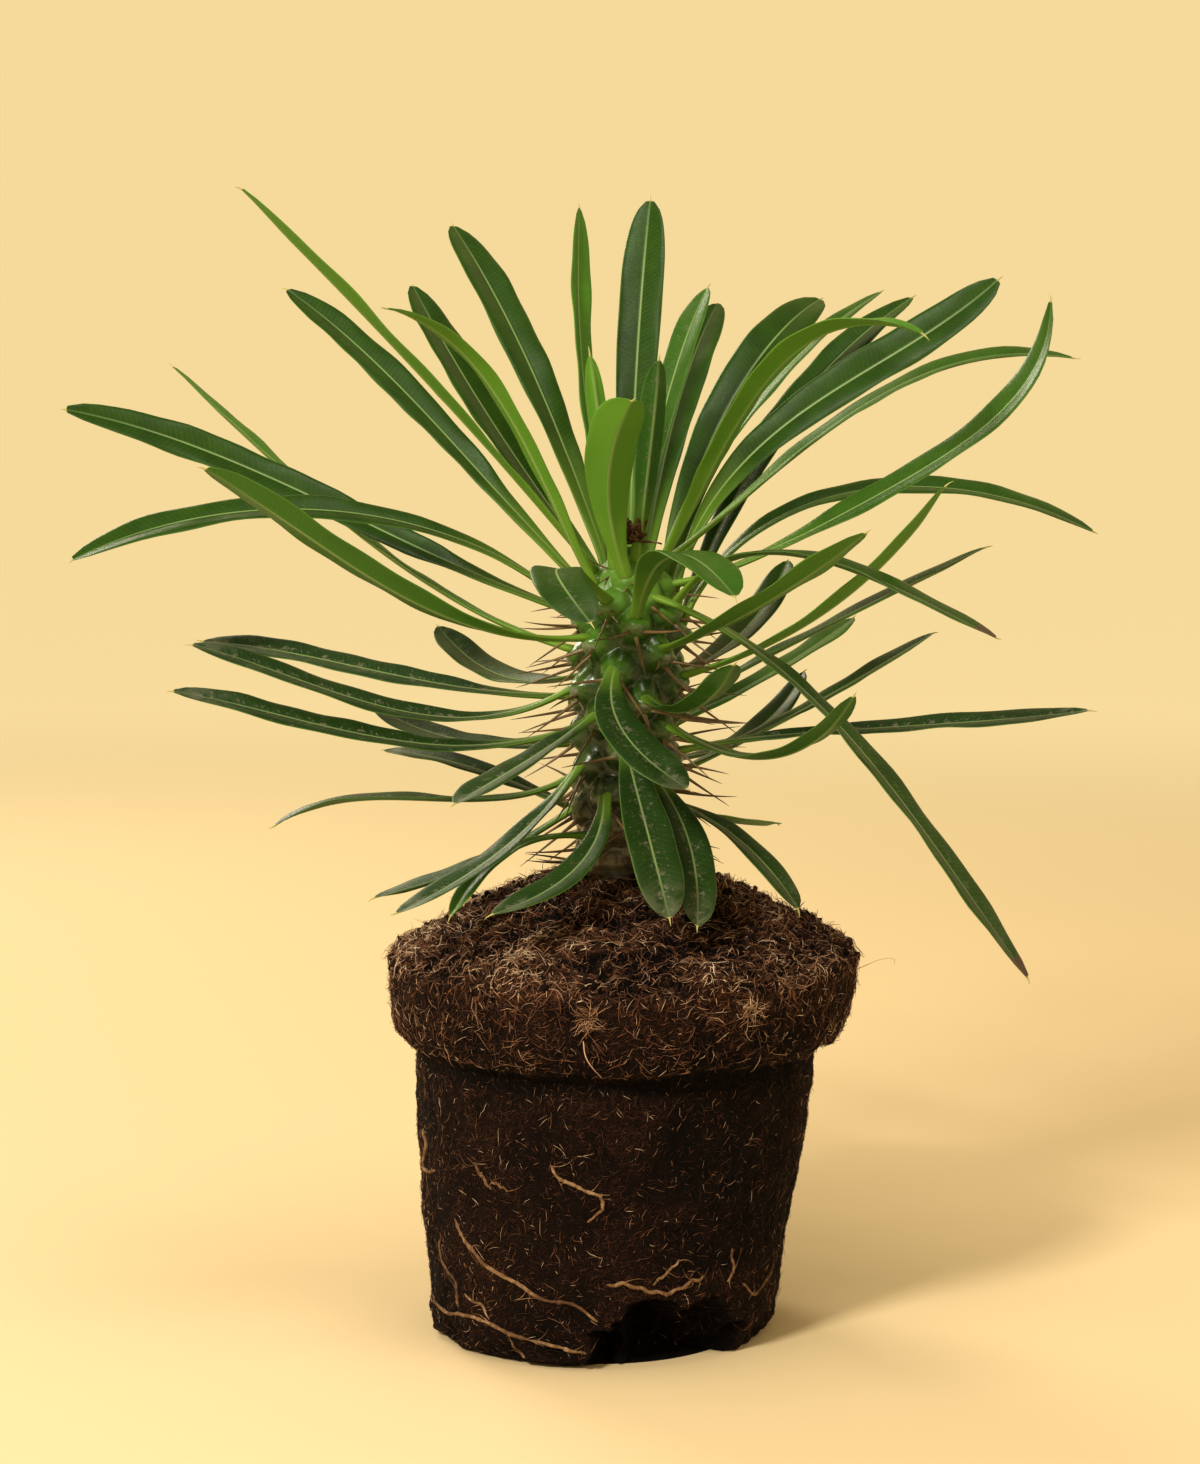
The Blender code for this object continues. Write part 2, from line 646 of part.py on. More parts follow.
def build():
    clear_scene()
    parts = make_collection("madagascar_palm")
    cutters = make_collection("cutters")
    materials = {name: make_material(name, *look) for name, look in COLOURS.items()}
    build_root_ball(parts, cutters, materials["root_ball"])
    seat = add_object("stem_seat", stem_mesh("stem_seat", SEAT_GAP), cutters)
    mark_as_cutter(seat)
    build_leaves(parts, seat, materials["leaf"])
    build_stem(parts, materials["stem"], blade_samples())
    build_tuft(parts, seat, materials["crown_tuft"])


build()
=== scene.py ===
import itertools
import math
import random

import bpy
import numpy as np
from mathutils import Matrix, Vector


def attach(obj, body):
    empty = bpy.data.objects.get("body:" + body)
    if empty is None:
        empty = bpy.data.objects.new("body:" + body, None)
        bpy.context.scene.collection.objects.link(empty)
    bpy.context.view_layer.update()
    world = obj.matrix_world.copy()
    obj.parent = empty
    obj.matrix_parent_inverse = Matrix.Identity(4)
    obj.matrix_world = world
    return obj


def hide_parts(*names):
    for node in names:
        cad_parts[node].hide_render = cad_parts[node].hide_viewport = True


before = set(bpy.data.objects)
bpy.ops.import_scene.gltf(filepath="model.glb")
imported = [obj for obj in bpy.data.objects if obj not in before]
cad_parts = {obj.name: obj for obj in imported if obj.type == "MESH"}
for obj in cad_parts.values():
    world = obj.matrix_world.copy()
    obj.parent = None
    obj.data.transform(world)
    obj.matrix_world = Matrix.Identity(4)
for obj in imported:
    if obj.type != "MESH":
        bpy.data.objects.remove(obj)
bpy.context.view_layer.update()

mm = 0.001  # every length below is in millimetres


# camera and light

view = {
    "eye": (0.0, -0.800, 0.2385), "pitch": 6.02, "lens": 77.41, "sensor": 36.0, "near": 0.01,
    "gamma": 0.88,
}

camera = bpy.data.objects.new("camera", bpy.data.cameras.new("camera"))
bpy.context.scene.collection.objects.link(camera)
camera.data.lens = view["lens"]
camera.data.sensor_width = view["sensor"]
camera.data.clip_start = view["near"]
camera.location = view["eye"]
camera.rotation_euler = (math.radians(90.0 - view["pitch"]), 0.0, 0.0)
bpy.context.scene.camera = camera

lamps = {  # name: place, aim, size across, watts, colour
    "key": ((-0.70, -1.00, 0.95), (0.0, 0.0, 0.13), 0.24, 21.0, (1.0, 0.95, 0.83)),
    "fill": ((1.10, -0.80, 0.50), (0.0, 0.0, 0.12), 0.8, 1.5, (1.0, 0.97, 0.93)),
    "top": ((0.10, -0.25, 1.35), (0.0, 0.0, 0.15), 0.4, 5.0, (1.0, 0.95, 0.84)),
    "rim": ((-0.60, 0.95, 0.75), (0.0, 0.0, 0.15), 0.5, 7.0, (1.0, 0.93, 0.80)),
}
for name, (place, aim, across, watts, colour) in lamps.items():
    light = bpy.data.lights.new(name, "AREA")
    light.size = across
    light.energy = watts
    light.color = colour
    lamp = bpy.data.objects.new(name, light)
    lamp.location = place
    lamp.rotation_euler = (Vector(aim) - Vector(place)).to_track_quat("-Z", "Y").to_euler()
    bpy.context.scene.collection.objects.link(lamp)

bpy.context.scene.view_settings.view_transform = "Standard"
bpy.context.scene.view_settings.gamma = view["gamma"]
world = bpy.data.worlds.new("studio")
bpy.context.scene.world = world
world.use_nodes = True
for name, value in {"Color": (1.0, 0.95, 0.86, 1.0), "Strength": 0.15}.items():
    world.node_tree.nodes["Background"].inputs[name].default_value = value


# meshes from arrays

def meshPiece(name, verts, faces, finish):
    mesh = bpy.data.meshes.new(name)
    verts = np.asarray(verts, dtype=np.float32).reshape(-1, 3) * mm
    faces = np.asarray(faces, dtype=np.int32)
    mesh.vertices.add(len(verts))
    mesh.vertices.foreach_set("co", verts.ravel())
    mesh.loops.add(faces.size)
    mesh.loops.foreach_set("vertex_index", faces.ravel())
    mesh.polygons.add(len(faces))
    mesh.polygons.foreach_set("loop_start", np.arange(0, faces.size, faces.shape[1], dtype=np.int32))
    mesh.polygons.foreach_set("use_smooth", np.ones(len(faces), dtype=bool))
    mesh.update(calc_edges=True)
    mesh.materials.append(finish)
    piece = bpy.data.objects.new(name, mesh)
    bpy.context.scene.collection.objects.link(piece)
    return piece


def paint(piece, name, values):
    # one number per vertex, for the material to read
    layer = piece.data.attributes.new(name, "FLOAT", "POINT")
    layer.data.foreach_set("value", np.asarray(values, dtype=np.float32).ravel())


def unwrap(piece, name, across, along):
    layer = piece.data.uv_layers.new(name=name)
    corner = np.empty(len(piece.data.loops), dtype=np.int32)
    piece.data.loops.foreach_get("vertex_index", corner)
    layer.data.foreach_set("uv", np.column_stack((across[corner], along[corner])).ravel().astype(np.float32))


def unit(v):
    return v / np.maximum(np.linalg.norm(v, axis=-1, keepdims=True), 1e-9)


def skinFaces(rows, sides, count=1):
    # closed skins over stacks of rings: walls split into triangles, and a fan at each end
    i, k = np.meshgrid(np.arange(rows - 1), np.arange(sides), indexing="ij")
    n = (k + 1) % sides
    a, b, c, d = (i * sides + k, i * sides + n, (i + 1) * sides + n, (i + 1) * sides + k)
    walls = np.concatenate((np.stack((a, b, c), -1).reshape(-1, 3), np.stack((a, c, d), -1).reshape(-1, 3)))
    fan = np.array([(0, k + 1, k) for k in range(1, sides - 1)])
    top = fan[:, ::-1] + (rows - 1) * sides
    faces = np.concatenate((walls, fan, top))
    starts = np.arange(count)[:, None, None] * rows * sides
    return (faces[None] + starts).reshape(-1, 3)


def tubes(paths, radii, sides, rng):
    # round tubes along many paths at once: paths (n, k, 3), radii (n, k)
    n, k = radii.shape
    run = np.gradient(paths, axis=1)
    run = unit(run)
    mean = unit(paths[:, -1] - paths[:, 0])
    guide = unit(np.cross(mean, unit(rng.normal(size=(n, 3)))))[:, None, :]
    side = unit(np.cross(run, guide))
    up = np.cross(side, run)
    turn = np.arange(sides) * 2 * math.pi / sides
    ring = (side[:, :, None] * np.cos(turn)[:, None] - up[:, :, None] * np.sin(turn)[:, None])
    verts = paths[:, :, None] + ring * radii[:, :, None, None]
    return verts.reshape(-1, 3), skinFaces(k, sides, n)


def latticeNoise(points, size, seed):
    # smooth lumps of about the given size, from -1 to 1
    p = points / size
    cell = np.floor(p).astype(np.int64)
    f = p - cell
    f = f * f * (3 - 2 * f)
    total = np.zeros(len(points))
    for dx, dy, dz in itertools.product((0, 1), repeat=3):
        h = (cell[:, 0] + dx) * 73856093 ^ (cell[:, 1] + dy) * 19349663
        h = (h ^ (cell[:, 2] + dz) * 83492791 ^ seed * 1640531) & 0x7FFFFFFF
        h = ((h ^ (h >> 13)) * 1274126177) & 0x7FFFFFFF
        value = ((h ^ (h >> 16)) & 0xFFFF) / 65535
        weight = (f[:, 0] if dx else 1 - f[:, 0]) * (f[:, 1] if dy else 1 - f[:, 1])
        total += value * weight * (f[:, 2] if dz else 1 - f[:, 2])
    return total * 2 - 1


# materials

class Finish:
    # a Principled material with short ways to add the nodes it needs
    def __init__(self, name, rough, **uniform):
        self.material = bpy.data.materials.new(name)
        self.material.use_nodes = True
        self.tree = self.material.node_tree
        self.shader = self.tree.nodes["Principled BSDF"]
        self.shader.inputs["Roughness"].default_value = rough
        for key, value in uniform.items():
            self.shader.inputs[key.replace("_", " ")].default_value = value

    def put(self, socket, value):
        if isinstance(value, bpy.types.NodeSocket):
            self.tree.links.new(value, socket)
        elif isinstance(value, tuple) and len(value) == 3 and socket.type == "RGBA":
            socket.default_value = (*value, 1.0)
        else:
            socket.default_value = value

    def node(self, kind, **inputs):
        made = self.tree.nodes.new("ShaderNode" + kind)
        for key, value in inputs.items():
            self.put(made.inputs[key.replace("_", " ")], value)
        return made

    def value(self, name):
        made = self.tree.nodes.new("ShaderNodeAttribute")
        made.attribute_name = name
        return made.outputs["Fac"]

    def maths(self, work, a, b=0.0, c=0.0):
        made = self.tree.nodes.new("ShaderNodeMath")
        made.operation = work
        for socket, value in zip(made.inputs, (a, b, c)):
            self.put(socket, value)
        return made.outputs[0]

    def times(self, a, b):
        return self.maths("MULTIPLY", a, b)

    def plus(self, a, b):
        return self.maths("ADD", a, b)

    def scaled(self, a, by, more):
        return self.maths("MULTIPLY_ADD", a, by, more)

    def span(self, value, low, high, a=0.0, b=1.0):
        made = self.node("MapRange", Value=value)
        made.interpolation_type = "SMOOTHSTEP"
        for key, number in (("From Min", low), ("From Max", high), ("To Min", a), ("To Max", b)):
            self.put(made.inputs[key], number)
        return made.outputs["Result"]

    def mix(self, share, a, b, blend="MIX"):
        made = self.tree.nodes.new("ShaderNodeMix")
        made.data_type = "RGBA"
        made.blend_type = blend
        self.put(made.inputs["Factor"], share)
        self.put(made.inputs[6], a)
        self.put(made.inputs[7], b)
        return made.outputs[2]

    def place(self, stretch=(1.0, 1.0, 1.0)):
        spot = self.tree.nodes.new("ShaderNodeTexCoord").outputs["Object"]
        made = self.node("Mapping", Vector=spot, Scale=stretch)
        return made.outputs[0]

    def noise(self, scale, detail=3.0, vector=None, rough=0.6):
        made = self.node("TexNoise", Scale=scale, Detail=detail, Roughness=rough)
        self.put(made.inputs["Vector"], vector if vector else self.place())
        return made.outputs["Fac"]

    def ramp(self, share, *stops):
        made = self.tree.nodes.new("ShaderNodeValToRGB")
        self.put(made.inputs[0], share)
        band = made.color_ramp.elements
        while len(band) < len(stops):
            band.new(0.5)
        for element, (position, colour) in zip(band, stops):
            element.position = position
            element.color = (*colour, 1.0)
        return made.outputs[0]

    def bump(self, height, strength, distance):
        made = self.node("Bump", Height=height, Strength=strength, Distance=distance * mm)
        self.put(self.shader.inputs["Normal"], made.outputs[0])

    def colour(self, value):
        self.put(self.shader.inputs["Base Color"], value)
        return self.material


def leafFinish():
    make = Finish("leafGreen", 0.4, Specular_IOR_Level=0.26)
    under, young, aged, burnt = (make.value(name) for name in ("under", "young", "aged", "burnt"))
    rim, along, foot = (make.value(name) for name in ("rim", "along", "foot"))
    spot = make.tree.nodes.new("ShaderNodeUVMap")
    spot.uv_map = "blade"
    parts = make.tree.nodes.new("ShaderNodeSeparateXYZ")
    make.put(parts.inputs[0], spot.outputs[0])
    across = make.maths("ABSOLUTE", make.times(parts.outputs[0], 100.0))
    down = make.times(parts.outputs[1], 100.0)
    cloud = make.noise(160.0, 4.0)
    grain = make.noise(1500.0, 3.0)
    # side veins sweep forward from the rib
    sweep = make.scaled(across, -0.55, down)
    sway = make.scaled(cloud, 3.0, make.times(sweep, 4.2))
    vein = make.span(make.maths("SINE", sway), 0.72, 1.0)
    vein = make.times(vein, make.span(rim, 0.96, 0.55))
    upperDark = make.mix(cloud, (0.010, 0.031, 0.001), (0.031, 0.086, 0.002))
    upperYoung = make.mix(cloud, (0.050, 0.175, 0.010), (0.100, 0.270, 0.020))
    upperAged = make.mix(cloud, (0.008, 0.027, 0.004), (0.022, 0.054, 0.010))
    upper = make.mix(young, make.mix(aged, upperDark, upperAged), upperYoung)
    lower = make.mix(young, (0.034, 0.110, 0.012), (0.115, 0.270, 0.024))
    blade = make.mix(under, upper, lower)
    blade = make.mix(make.times(vein, 0.085), blade, (0.12, 0.24, 0.07))
    # the rib: a thin pale line above, broader and paler below
    ribWidth = make.scaled(under, 0.22, 0.24)
    rib = make.span(across, make.plus(ribWidth, 0.16), make.times(ribWidth, 0.45))
    rib = make.times(rib, make.span(along, 1.0, 0.72, 0.35, 1.0))
    blade = make.mix(make.times(rib, 0.72), blade, (0.260, 0.370, 0.150))
    blade = make.mix(make.span(rim, 0.93, 1.0, 0.0, 0.4), blade, (0.15, 0.27, 0.06))
    blade = make.mix(make.times(foot, 0.85), blade, (0.170, 0.300, 0.035))
    # corky scuffs on the old leaves, mostly beside the rib
    scuff = make.noise(520.0, 5.0, rough=0.75)
    near = make.span(rim, 0.75, 0.0, 0.0, 0.09)
    scuff = make.span(make.plus(scuff, near), 0.60, 0.70)
    scuff = make.times(make.times(scuff, aged), make.span(foot, 0.6, 0.1))
    blade = make.mix(make.times(scuff, 0.75), blade, (0.185, 0.165, 0.135))
    # short pale dashes that run with the side veins
    lane = make.node("CombineXYZ", X=make.times(across, 0.55), Y=make.times(sweep, 2.4), Z=young)
    dash = make.span(make.noise(1.0, 1.0, lane.outputs[0]), 0.69, 0.76)
    dash = make.times(dash, make.scaled(aged, 0.6, 0.08))
    blade = make.mix(make.times(dash, make.span(foot, 0.5, 0.1)), blade, (0.26, 0.27, 0.21))
    # a worn grey patch near the tip of the oldest
    worn = make.times(make.span(along, 0.80, 0.97), make.span(cloud, 0.42, 0.62))
    worn = make.times(worn, make.times(aged, 0.5))
    blade = make.mix(worn, blade, (0.15, 0.15, 0.115))
    singe = make.span(make.scaled(cloud, 0.35, burnt), 0.62, 0.80)
    blade = make.mix(singe, blade, make.mix(grain, (0.035, 0.022, 0.012), (0.11, 0.07, 0.04)))
    blade = make.mix(make.value("point"), blade, (0.40, 0.38, 0.16))
    dust = make.scaled(scuff, 0.25, make.span(grain, 0.35, 0.7, 0.34, 0.46))
    dust = make.scaled(under, 0.12, dust)
    make.put(make.shader.inputs["Roughness"], make.scaled(aged, 0.06, dust))
    relief = make.scaled(vein, 0.45, make.times(grain, 0.3))
    make.bump(relief, 0.25, 0.10)
    return make.colour(blade)


def stemFinish():
    make = Finish("stemSkin", 0.4, Specular_IOR_Level=0.55)
    high, knob, cushion = (make.value(name) for name in ("high", "knob", "cushion"))
    cloud = make.noise(180.0, 4.0)
    fine = make.noise(1100.0, 4.0)
    skin = make.ramp(
        make.scaled(cloud, 0.10, high),
        (0.05, (0.170, 0.115, 0.062)), (0.17, (0.110, 0.085, 0.042)), (0.30, (0.028, 0.040, 0.012)),
        (0.66, (0.034, 0.088, 0.009)), (0.84, (0.060, 0.160, 0.010)), (1.0, (0.090, 0.205, 0.014)))
    # painted light: the tops of the knobs are mixed toward a brighter green
    tip = make.mix(high, (0.050, 0.085, 0.022), (0.085, 0.215, 0.014))
    skin = make.mix(make.times(knob, 0.30), skin, tip)
    # painted shade: the furrows between the knobs are mixed toward near-black green, less so near the crown
    dark = make.times(make.span(knob, 0.46, 0.06, 0.0, 0.60), make.span(high, 1.0, 0.80, 0.2, 1.0))
    skin = make.mix(dark, skin, (0.004, 0.012, 0.002))
    # grey bark rings round the foot
    rings = make.noise(90.0, 4.0, make.place((1.0, 1.0, 9.0)))
    bark = make.times(make.span(high, 0.34, 0.06), make.span(rings, 0.42, 0.60))
    skin = make.mix(make.times(bark, 0.7), skin, (0.180, 0.150, 0.105))
    # silver wax round each group of spines: its pale grey is partly the wax's own colour, partly painted
    # highlight
    waxAndHighlight = make.span(make.scaled(make.noise(480.0, 5.0), 1.5, cushion), 1.18, 1.50)
    waxAndHighlight = make.times(waxAndHighlight, make.span(high, 0.92, 0.66, 0.10, 1.0))
    skin = make.mix(make.times(waxAndHighlight, 0.6), skin, make.mix(fine, (0.07, 0.08, 0.055), (0.36, 0.37, 0.32)))
    gloss = make.plus(make.span(fine, 0.3, 0.7, 0.16, 0.32), make.span(high, 0.72, 0.92, 0.0, 0.25))
    make.put(make.shader.inputs["Roughness"], make.scaled(waxAndHighlight, 0.06, gloss))
    make.bump(make.plus(fine, make.times(rings, bark)), 0.22, 0.25)
    return make.colour(skin)


def spineFinish():
    make = Finish("spineHorn", 0.38, Specular_IOR_Level=0.5)
    along = make.value("along")
    tone = make.ramp(
        make.scaled(make.value("tone"), 0.25, along),
        (0.0, (0.34, 0.28, 0.17)), (0.18, (0.15, 0.098, 0.045)), (0.55, (0.16, 0.098, 0.042)),
        (0.9, (0.07, 0.038, 0.018)), (1.0, (0.035, 0.018, 0.010)))
    return make.colour(tone)


def earthFinish():
    make = Finish("coirEarth", 0.95, Specular_IOR_Level=0.12)
    streaks = 0.0
    # matted fibre: thin streaks laid in several directions
    for tilt, spin in ((8.0, 0.0), (35.0, 50.0), (-40.0, 110.0), (75.0, 20.0), (-12.0, 160.0)):
        spot = make.tree.nodes.new("ShaderNodeTexCoord").outputs["Object"]
        turned = make.node("Mapping", Vector=spot)
        turned.inputs["Rotation"].default_value = (0.0, math.radians(tilt), math.radians(spin))
        laid = make.node("Mapping", Vector=turned.outputs[0], Scale=(0.16, 1.0, 1.0))
        line = make.span(make.noise(2100.0, 1.0, laid.outputs[0]), 0.52, 0.74)
        streaks = make.maths("MAXIMUM", line, streaks)
    cloud = make.noise(55.0, 4.0)
    grain = make.noise(900.0, 4.0)
    dark = make.mix(grain, (0.0025, 0.0013, 0.0010), (0.014, 0.006, 0.0035))
    pale = make.ramp(
        cloud, (0.35, (0.034, 0.014, 0.008)), (0.52, (0.066, 0.028, 0.017)), (0.68, (0.115, 0.048, 0.026)))
    base = make.mix(make.times(streaks, 0.85), dark, pale)
    base = make.mix(make.span(make.value("top"), 0.0, 1.0, 0.45, 0.0), base, (0.003, 0.0015, 0.001))
    base = make.mix(make.times(make.value("top"), make.times(streaks, 0.5)), base, (0.210, 0.095, 0.050))
    # painted shade: darker in the crevices, in the broken hollow and under the collar's ledge
    base = make.mix(make.span(make.value("depthAndShade"), 0.5, -0.8), base, (0.004, 0.002, 0.0015))
    make.bump(make.scaled(grain, 0.4, streaks), 0.9, 0.6)
    return make.colour(base)


def fibreFinish():
    make = Finish("coirFibre", 0.72, Specular_IOR_Level=0.3)
    tone = make.ramp(
        make.value("tone"),
        (0.0, (0.008, 0.004, 0.003)), (0.30, (0.048, 0.018, 0.011)), (0.55, (0.165, 0.066, 0.033)),
        (0.78, (0.360, 0.195, 0.110)), (1.0, (0.700, 0.550, 0.410)))
    return make.colour(tone)


def rootFinish():
    make = Finish("rootTan", 0.8, Specular_IOR_Level=0.25)
    rough = make.noise(900.0, 5.0)
    tone = make.ramp(
        make.scaled(make.noise(130.0, 3.0), 0.6, make.times(rough, 0.4)),
        (0.30, (0.035, 0.016, 0.008)), (0.50, (0.150, 0.080, 0.038)), (0.70, (0.420, 0.290, 0.175)))
    make.bump(rough, 0.6, 0.3)
    return make.colour(tone)


def crumbFinish():
    make = Finish("peatCrumb", 0.97, Specular_IOR_Level=0.1)
    tone = make.ramp(
        make.value("tone"),
        (0.0, (0.007, 0.004, 0.003)), (0.7, (0.026, 0.012, 0.007)), (1.0, (0.075, 0.036, 0.020)))
    make.bump(make.noise(1300.0, 4.0), 0.7, 0.4)
    return make.colour(tone)


def scaleFinish():
    make = Finish("driedScale", 0.85, Specular_IOR_Level=0.2)
    rough = make.noise(900.0, 5.0)
    tone = make.ramp(
        rough, (0.3, (0.030, 0.013, 0.007)), (0.5, (0.115, 0.055, 0.026)), (0.7, (0.30, 0.18, 0.10)))
    make.bump(rough, 0.7, 0.3)
    return make.colour(tone)


def floorFinish():
    make = Finish("studioFloor", 0.9, Specular_IOR_Level=0.1, Emission_Color=(1.0, 0.79, 0.41, 1.0))
    # away from the lamps the sweep turns from a lit floor into an even glow, as a lit backdrop does
    spot = make.node("SeparateXYZ", Vector=make.place())
    x, y = (make.maths("POWER", spot.outputs[axis], 2.0) for axis in (0, 1))
    far = make.maths("POWER", make.plus(x, y), 0.5)
    glow = make.span(far, 0.25, 1.7)
    make.put(make.shader.inputs["Emission Strength"], make.times(glow, 0.90))
    make.material.cycles.emission_sampling = "NONE"
    return make.colour(make.mix(glow, (0.70, 0.57, 0.37), (0.03, 0.02, 0.01)))


# floor: a wide disc that sweeps up all round

sweep = {"flat": 1700.0, "radius": 1000.0, "height": 3600.0, "steps": 14, "sides": 72}


def makeFloor():
    profile = [(0.0, 0.0), (sweep["flat"], 0.0)]
    for i in range(1, sweep["steps"] + 1):
        turn = math.pi / 2 * i / sweep["steps"]
        out, up = sweep["radius"] * math.sin(turn), sweep["radius"] * (1 - math.cos(turn))
        profile.append((sweep["flat"] + out, up))
    profile.append((profile[-1][0], sweep["height"]))
    verts, faces, sides = [], [], sweep["sides"]
    for radius, z in profile[1:]:
        for k in range(sides):
            turn = 2 * math.pi * k / sides
            verts.append((radius * math.cos(turn), radius * math.sin(turn), z))
    verts.append((0.0, 0.0, 0.0))
    for k in range(sides):
        n = (k + 1) % sides
        faces.append((len(verts) - 1, k, n))
        for i in range(len(profile) - 2):
            a, b = i * sides, (i + 1) * sides
            faces.append((a + k, b + k, b + n))
            faces.append((a + k, b + n, a + n))
    meshPiece("floor", verts, faces, floorFinish())


makeFloor()
print("floor and lamps ready")


# stem: the spiral of tubercles that everything else stands on

stem = {
    "outline": [
        (97.0, 7.4), (117.5, 7.8), (121.0, 8.8), (128.0, 10.2), (140.0, 11.3), (158.0, 12.6),
        (174.0, 12.8), (186.0, 11.4), (194.0, 8.4), (199.0, 4.8), (201.5, 2.2)],
    "footX": 3.6, "lean": 4.4, "soil": 117.8, "bareOver": 4.0,
    "base": 116.0, "tall": 86.0, "shoulder": 174.0, "firstRow": 184.0,
    "goldenAngle": -137.508, "firstAzimuth": 60.0, "crownSlots": 22, "crownSpread": 2.5,
    "slotRise": 1.5, "lastSlot": 64, "knobHeight": 3.4, "knobSpread": (3.6, 3.4),
    "fullKnob": 20.0, "oldKnobs": 16.0, "firstCushion": 4, "fullCushion": 22.0,
    "rings": 200, "sides": 130,
}


def coreRadius(z):
    heights, radii = zip(*stem["outline"])
    return np.interp(z, heights, radii)


def upStem(z):
    return np.clip((z - stem["base"]) / stem["tall"], 0.0, 1.0)


def bareShare(z):
    return np.clip((z - stem["soil"]) / stem["bareOver"], 0.0, 1.0)


def cushionSize(index):
    return min(1.0, (index + 4.0) / stem["fullCushion"])


def axisX(z):
    t = upStem(z)
    return stem["footX"] + stem["lean"] * t * (2.0 - t)


def slotPlace(index):
    azimuth = stem["firstAzimuth"] + stem["goldenAngle"] * index
    if index < stem["crownSlots"]:
        radius = stem["crownSpread"] * math.sqrt(index + 2.0)
        crown = [point for point in stem["outline"] if point[0] >= stem["shoulder"]][::-1]
        return azimuth, float(np.interp(radius, [p[1] for p in crown], [p[0] for p in crown]))
    return azimuth, stem["firstRow"] - stem["slotRise"] * (index - stem["crownSlots"] + 1)


def knobSize(index):
    young = min(1.0, (index + 2.0) / stem["fullKnob"])
    old = min(1.0, (stem["lastSlot"] + 4.0 - index) / stem["oldKnobs"])
    return stem["knobHeight"] * young * (0.45 + 0.55 * old)


def stemRadius(azimuth, z, lift=0.0):
    # radius, and how near the top of a knob each point is
    azimuth, z = np.broadcast_arrays(np.asarray(azimuth, float), np.asarray(z, float))
    core = coreRadius(z)
    bump = np.zeros(z.shape)
    knob = np.zeros(z.shape)
    for index in range(stem["lastSlot"] + 1):
        slotAzimuth, slotZ = slotPlace(index)
        turn = (azimuth - slotAzimuth + 180.0) % 360.0 - 180.0
        across = np.radians(turn) * np.maximum(core, 5.0) / stem["knobSpread"][0]
        along = (z - slotZ + lift) / stem["knobSpread"][1]
        reach = across ** 2 + along ** 2
        bump = np.maximum(bump, np.where(reach < 9.0, knobSize(index) * np.exp(-reach), 0.0))
        knob = np.maximum(knob, np.where(reach < 9.0, np.exp(-reach), 0.0))
    return core + bump * bareShare(z), knob


def direction(azimuth, rise=0.0):
    a, e = np.radians(azimuth), np.radians(rise)
    a, e = np.broadcast_arrays(a, e)
    return np.stack((np.cos(a) * np.cos(e), np.sin(a) * np.cos(e), np.sin(e)), -1)


def stemPoint(azimuth, z, out=0.0):
    return direction(azimuth) * (stemRadius(azimuth, z)[0] + out) + np.array((axisX(z), 0.0, z))


def makeStem(finish):
    low, high = stem["outline"][0][0], stem["outline"][-1][0]
    rows = np.sin(math.pi / 2 * np.linspace(0.0, 1.0, stem["rings"])) ** 0.9
    turns = np.arange(stem["sides"]) * 360.0 / stem["sides"]
    z, azimuth = np.meshgrid(low + (high - low) * rows, turns, indexing="ij")
    radius, knob = stemRadius(azimuth, z)
    spot = direction(azimuth) * radius[..., None] + np.stack((axisX(z), 0 * z, z), -1)
    flat = spot.reshape(-1, 3)
    fold = latticeNoise(flat * (1, 1, 0.45), 2.6, 3).reshape(z.shape)
    fine = latticeNoise(flat, 0.9, 5).reshape(z.shape)
    bare = bareShare(z)
    # each cushion sits under its knob's tip, raised a little, with a crease above it
    cushion = np.zeros(z.shape)
    crease = np.zeros(z.shape)
    for index in range(stem["firstCushion"], stem["lastSlot"] + 1):
        slotAzimuth, slotZ = slotPlace(index)
        turn = np.radians((azimuth - slotAzimuth + 180.0) % 360.0 - 180.0) * np.maximum(radius, 5.0)
        size = cushionSize(index)
        near = np.exp(-(turn / 3.0 / size) ** 2 - ((z - slotZ + 1.1) / 1.9 / size) ** 2)
        cushion = np.maximum(cushion, near)
        crease = np.maximum(crease, np.exp(-(turn / 2.0) ** 2 - ((z - slotZ - 1.7) / 0.6) ** 2) * size)
    sway = latticeNoise(flat, 6.0, 9).reshape(z.shape)
    rings = np.sin(z * 2.4 + 1.5 * sway) * np.clip((134.0 - z) / 12.0, 0.0, 1.0)  # old rings at the foot
    furrow = np.clip(0.45 - knob, 0.0, 0.45) / 0.45
    swell = 0.26 * fold + 0.06 * fine + 0.30 * cushion - 0.55 * crease + 0.18 * rings - 1.3 * furrow ** 2
    swell = swell * np.clip((200.0 - z) / 10.0, 0.0, 1.0)
    spot += direction(azimuth) * (swell * bare)[..., None]
    verts = spot.reshape(-1, 3)
    piece = meshPiece("stemSkin", verts, skinFaces(stem["rings"], stem["sides"]), finish)
    paint(piece, "high", upStem(z))
    paint(piece, "knob", knob)
    paint(piece, "cushion", cushion)
    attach(piece, "root")
    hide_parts("stem")


makeStem(stemFinish())
print("stem ready")


# leaves: slot, width, roll, then the points each rib passes through, from the foot of the stem

